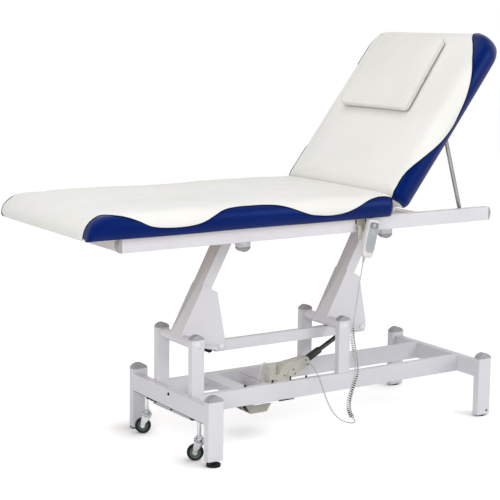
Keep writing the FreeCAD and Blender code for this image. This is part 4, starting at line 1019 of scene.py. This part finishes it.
def lamp(name, place, target, size, power):
    data = bpy.data.lights.new(name, "AREA")
    data.shape = "DISK"
    data.size, data.energy = size, power
    item = new_object(name, data)
    item.location = place
    item.rotation_euler = (Vector(target) - Vector(place)).to_track_quat("-Z", "Y").to_euler()


def joined(tree, operation, *values):
    """Values joined by math nodes, from left to right."""
    total = values[0]
    for value in values[1:]:
        node = tree.nodes.new("ShaderNodeMath")
        node.operation = operation
        total = feed(node, {0: total, 1: value}).outputs["Value"]
    return total


def seen(tree):
    """1 for rays that show the background: camera, glossy and transmission rays."""
    path = tree.nodes.new("ShaderNodeLightPath").outputs
    return joined(tree, "MAXIMUM", path["Is Camera Ray"], path["Is Glossy Ray"], path["Is Transmission Ray"])


def studio():
    world = scene.world = bpy.data.worlds.new("studio")
    world.use_nodes = True
    tree = world.node_tree
    fill = feed(tree.nodes["Background"], {"Color": (1, 1, 1, 1), "Strength": 0.5})
    white = feed(tree.nodes.new("ShaderNodeBackground"), {"Color": (1, 1, 1, 1), "Strength": 1.0})
    mix = feed(tree.nodes.new("ShaderNodeMixShader"),
               {"Fac": seen(tree), 1: fill.outputs["Background"], 2: white.outputs["Background"]})
    feed(tree.nodes["World Output"], {"Surface": mix.outputs["Shader"]})

    form = bmesh.new()
    bmesh.ops.create_grid(form, x_segments=1, y_segments=1, size=14)
    floor = new_object("floor", mesh_of("floor", form))
    look = Look("floor_white", {"Base Color": (0.8, 0.8, 0.8, 1), "Roughness": 0.9, "Specular IOR Level": 0.0,
                                "Emission Color": (1, 1, 1, 1)})
    # The floor's own light makes up for the lamps far out, and gives way close to what stands on it: ambient
    # occlusion about a tilted normal dims it there, painted contact shadows off to one side of each foot.
    away = look.add("VectorMath")
    away.operation = "LENGTH"
    feed(away, {0: look.place})
    tilt = look.add("CombineXYZ", {0: 0.62, 1: -0.41, 2: 0.67})
    painted_shadow = look.add("AmbientOcclusion", {"Distance": 0.12, "Normal": tilt.outputs["Vector"]})
    painted_shadow.samples = 8
    ground = look.spread(away.outputs["Value"], 1.2, 4.0, 0.57, 0.6)
    shade = painted_shadow.outputs["AO"]
    glow = joined(look.tree, "MULTIPLY", ground, seen(look.tree), shade, shade)
    feed(look.shader, {"Emission Strength": glow})
    floor.data.materials.append(look.material)

    lamp("key", (-3.3, -3.3, 2.2), (0, 0, 0.5), 2.6, 82)
    lamp("over", (-0.9, -0.5, 4.1), (0, 0, 0.5), 3.2, 39)
    lamp("side", (2.6, -3.6, 2.0), (0.2, 0, 0.5), 2.0, 50)


dress_nodes()
camera()
cords()
seat_and_back()
pillow()
for edge, names in EDGES.items():
    for node_name in names:
        soften(node_name, edge)
caster("near", -0.188)
caster("far", 0.188)
caster_bar_fittings()
handset()
handset_hook()
lifting_gear()
control_gear()
base_fittings()
studio()
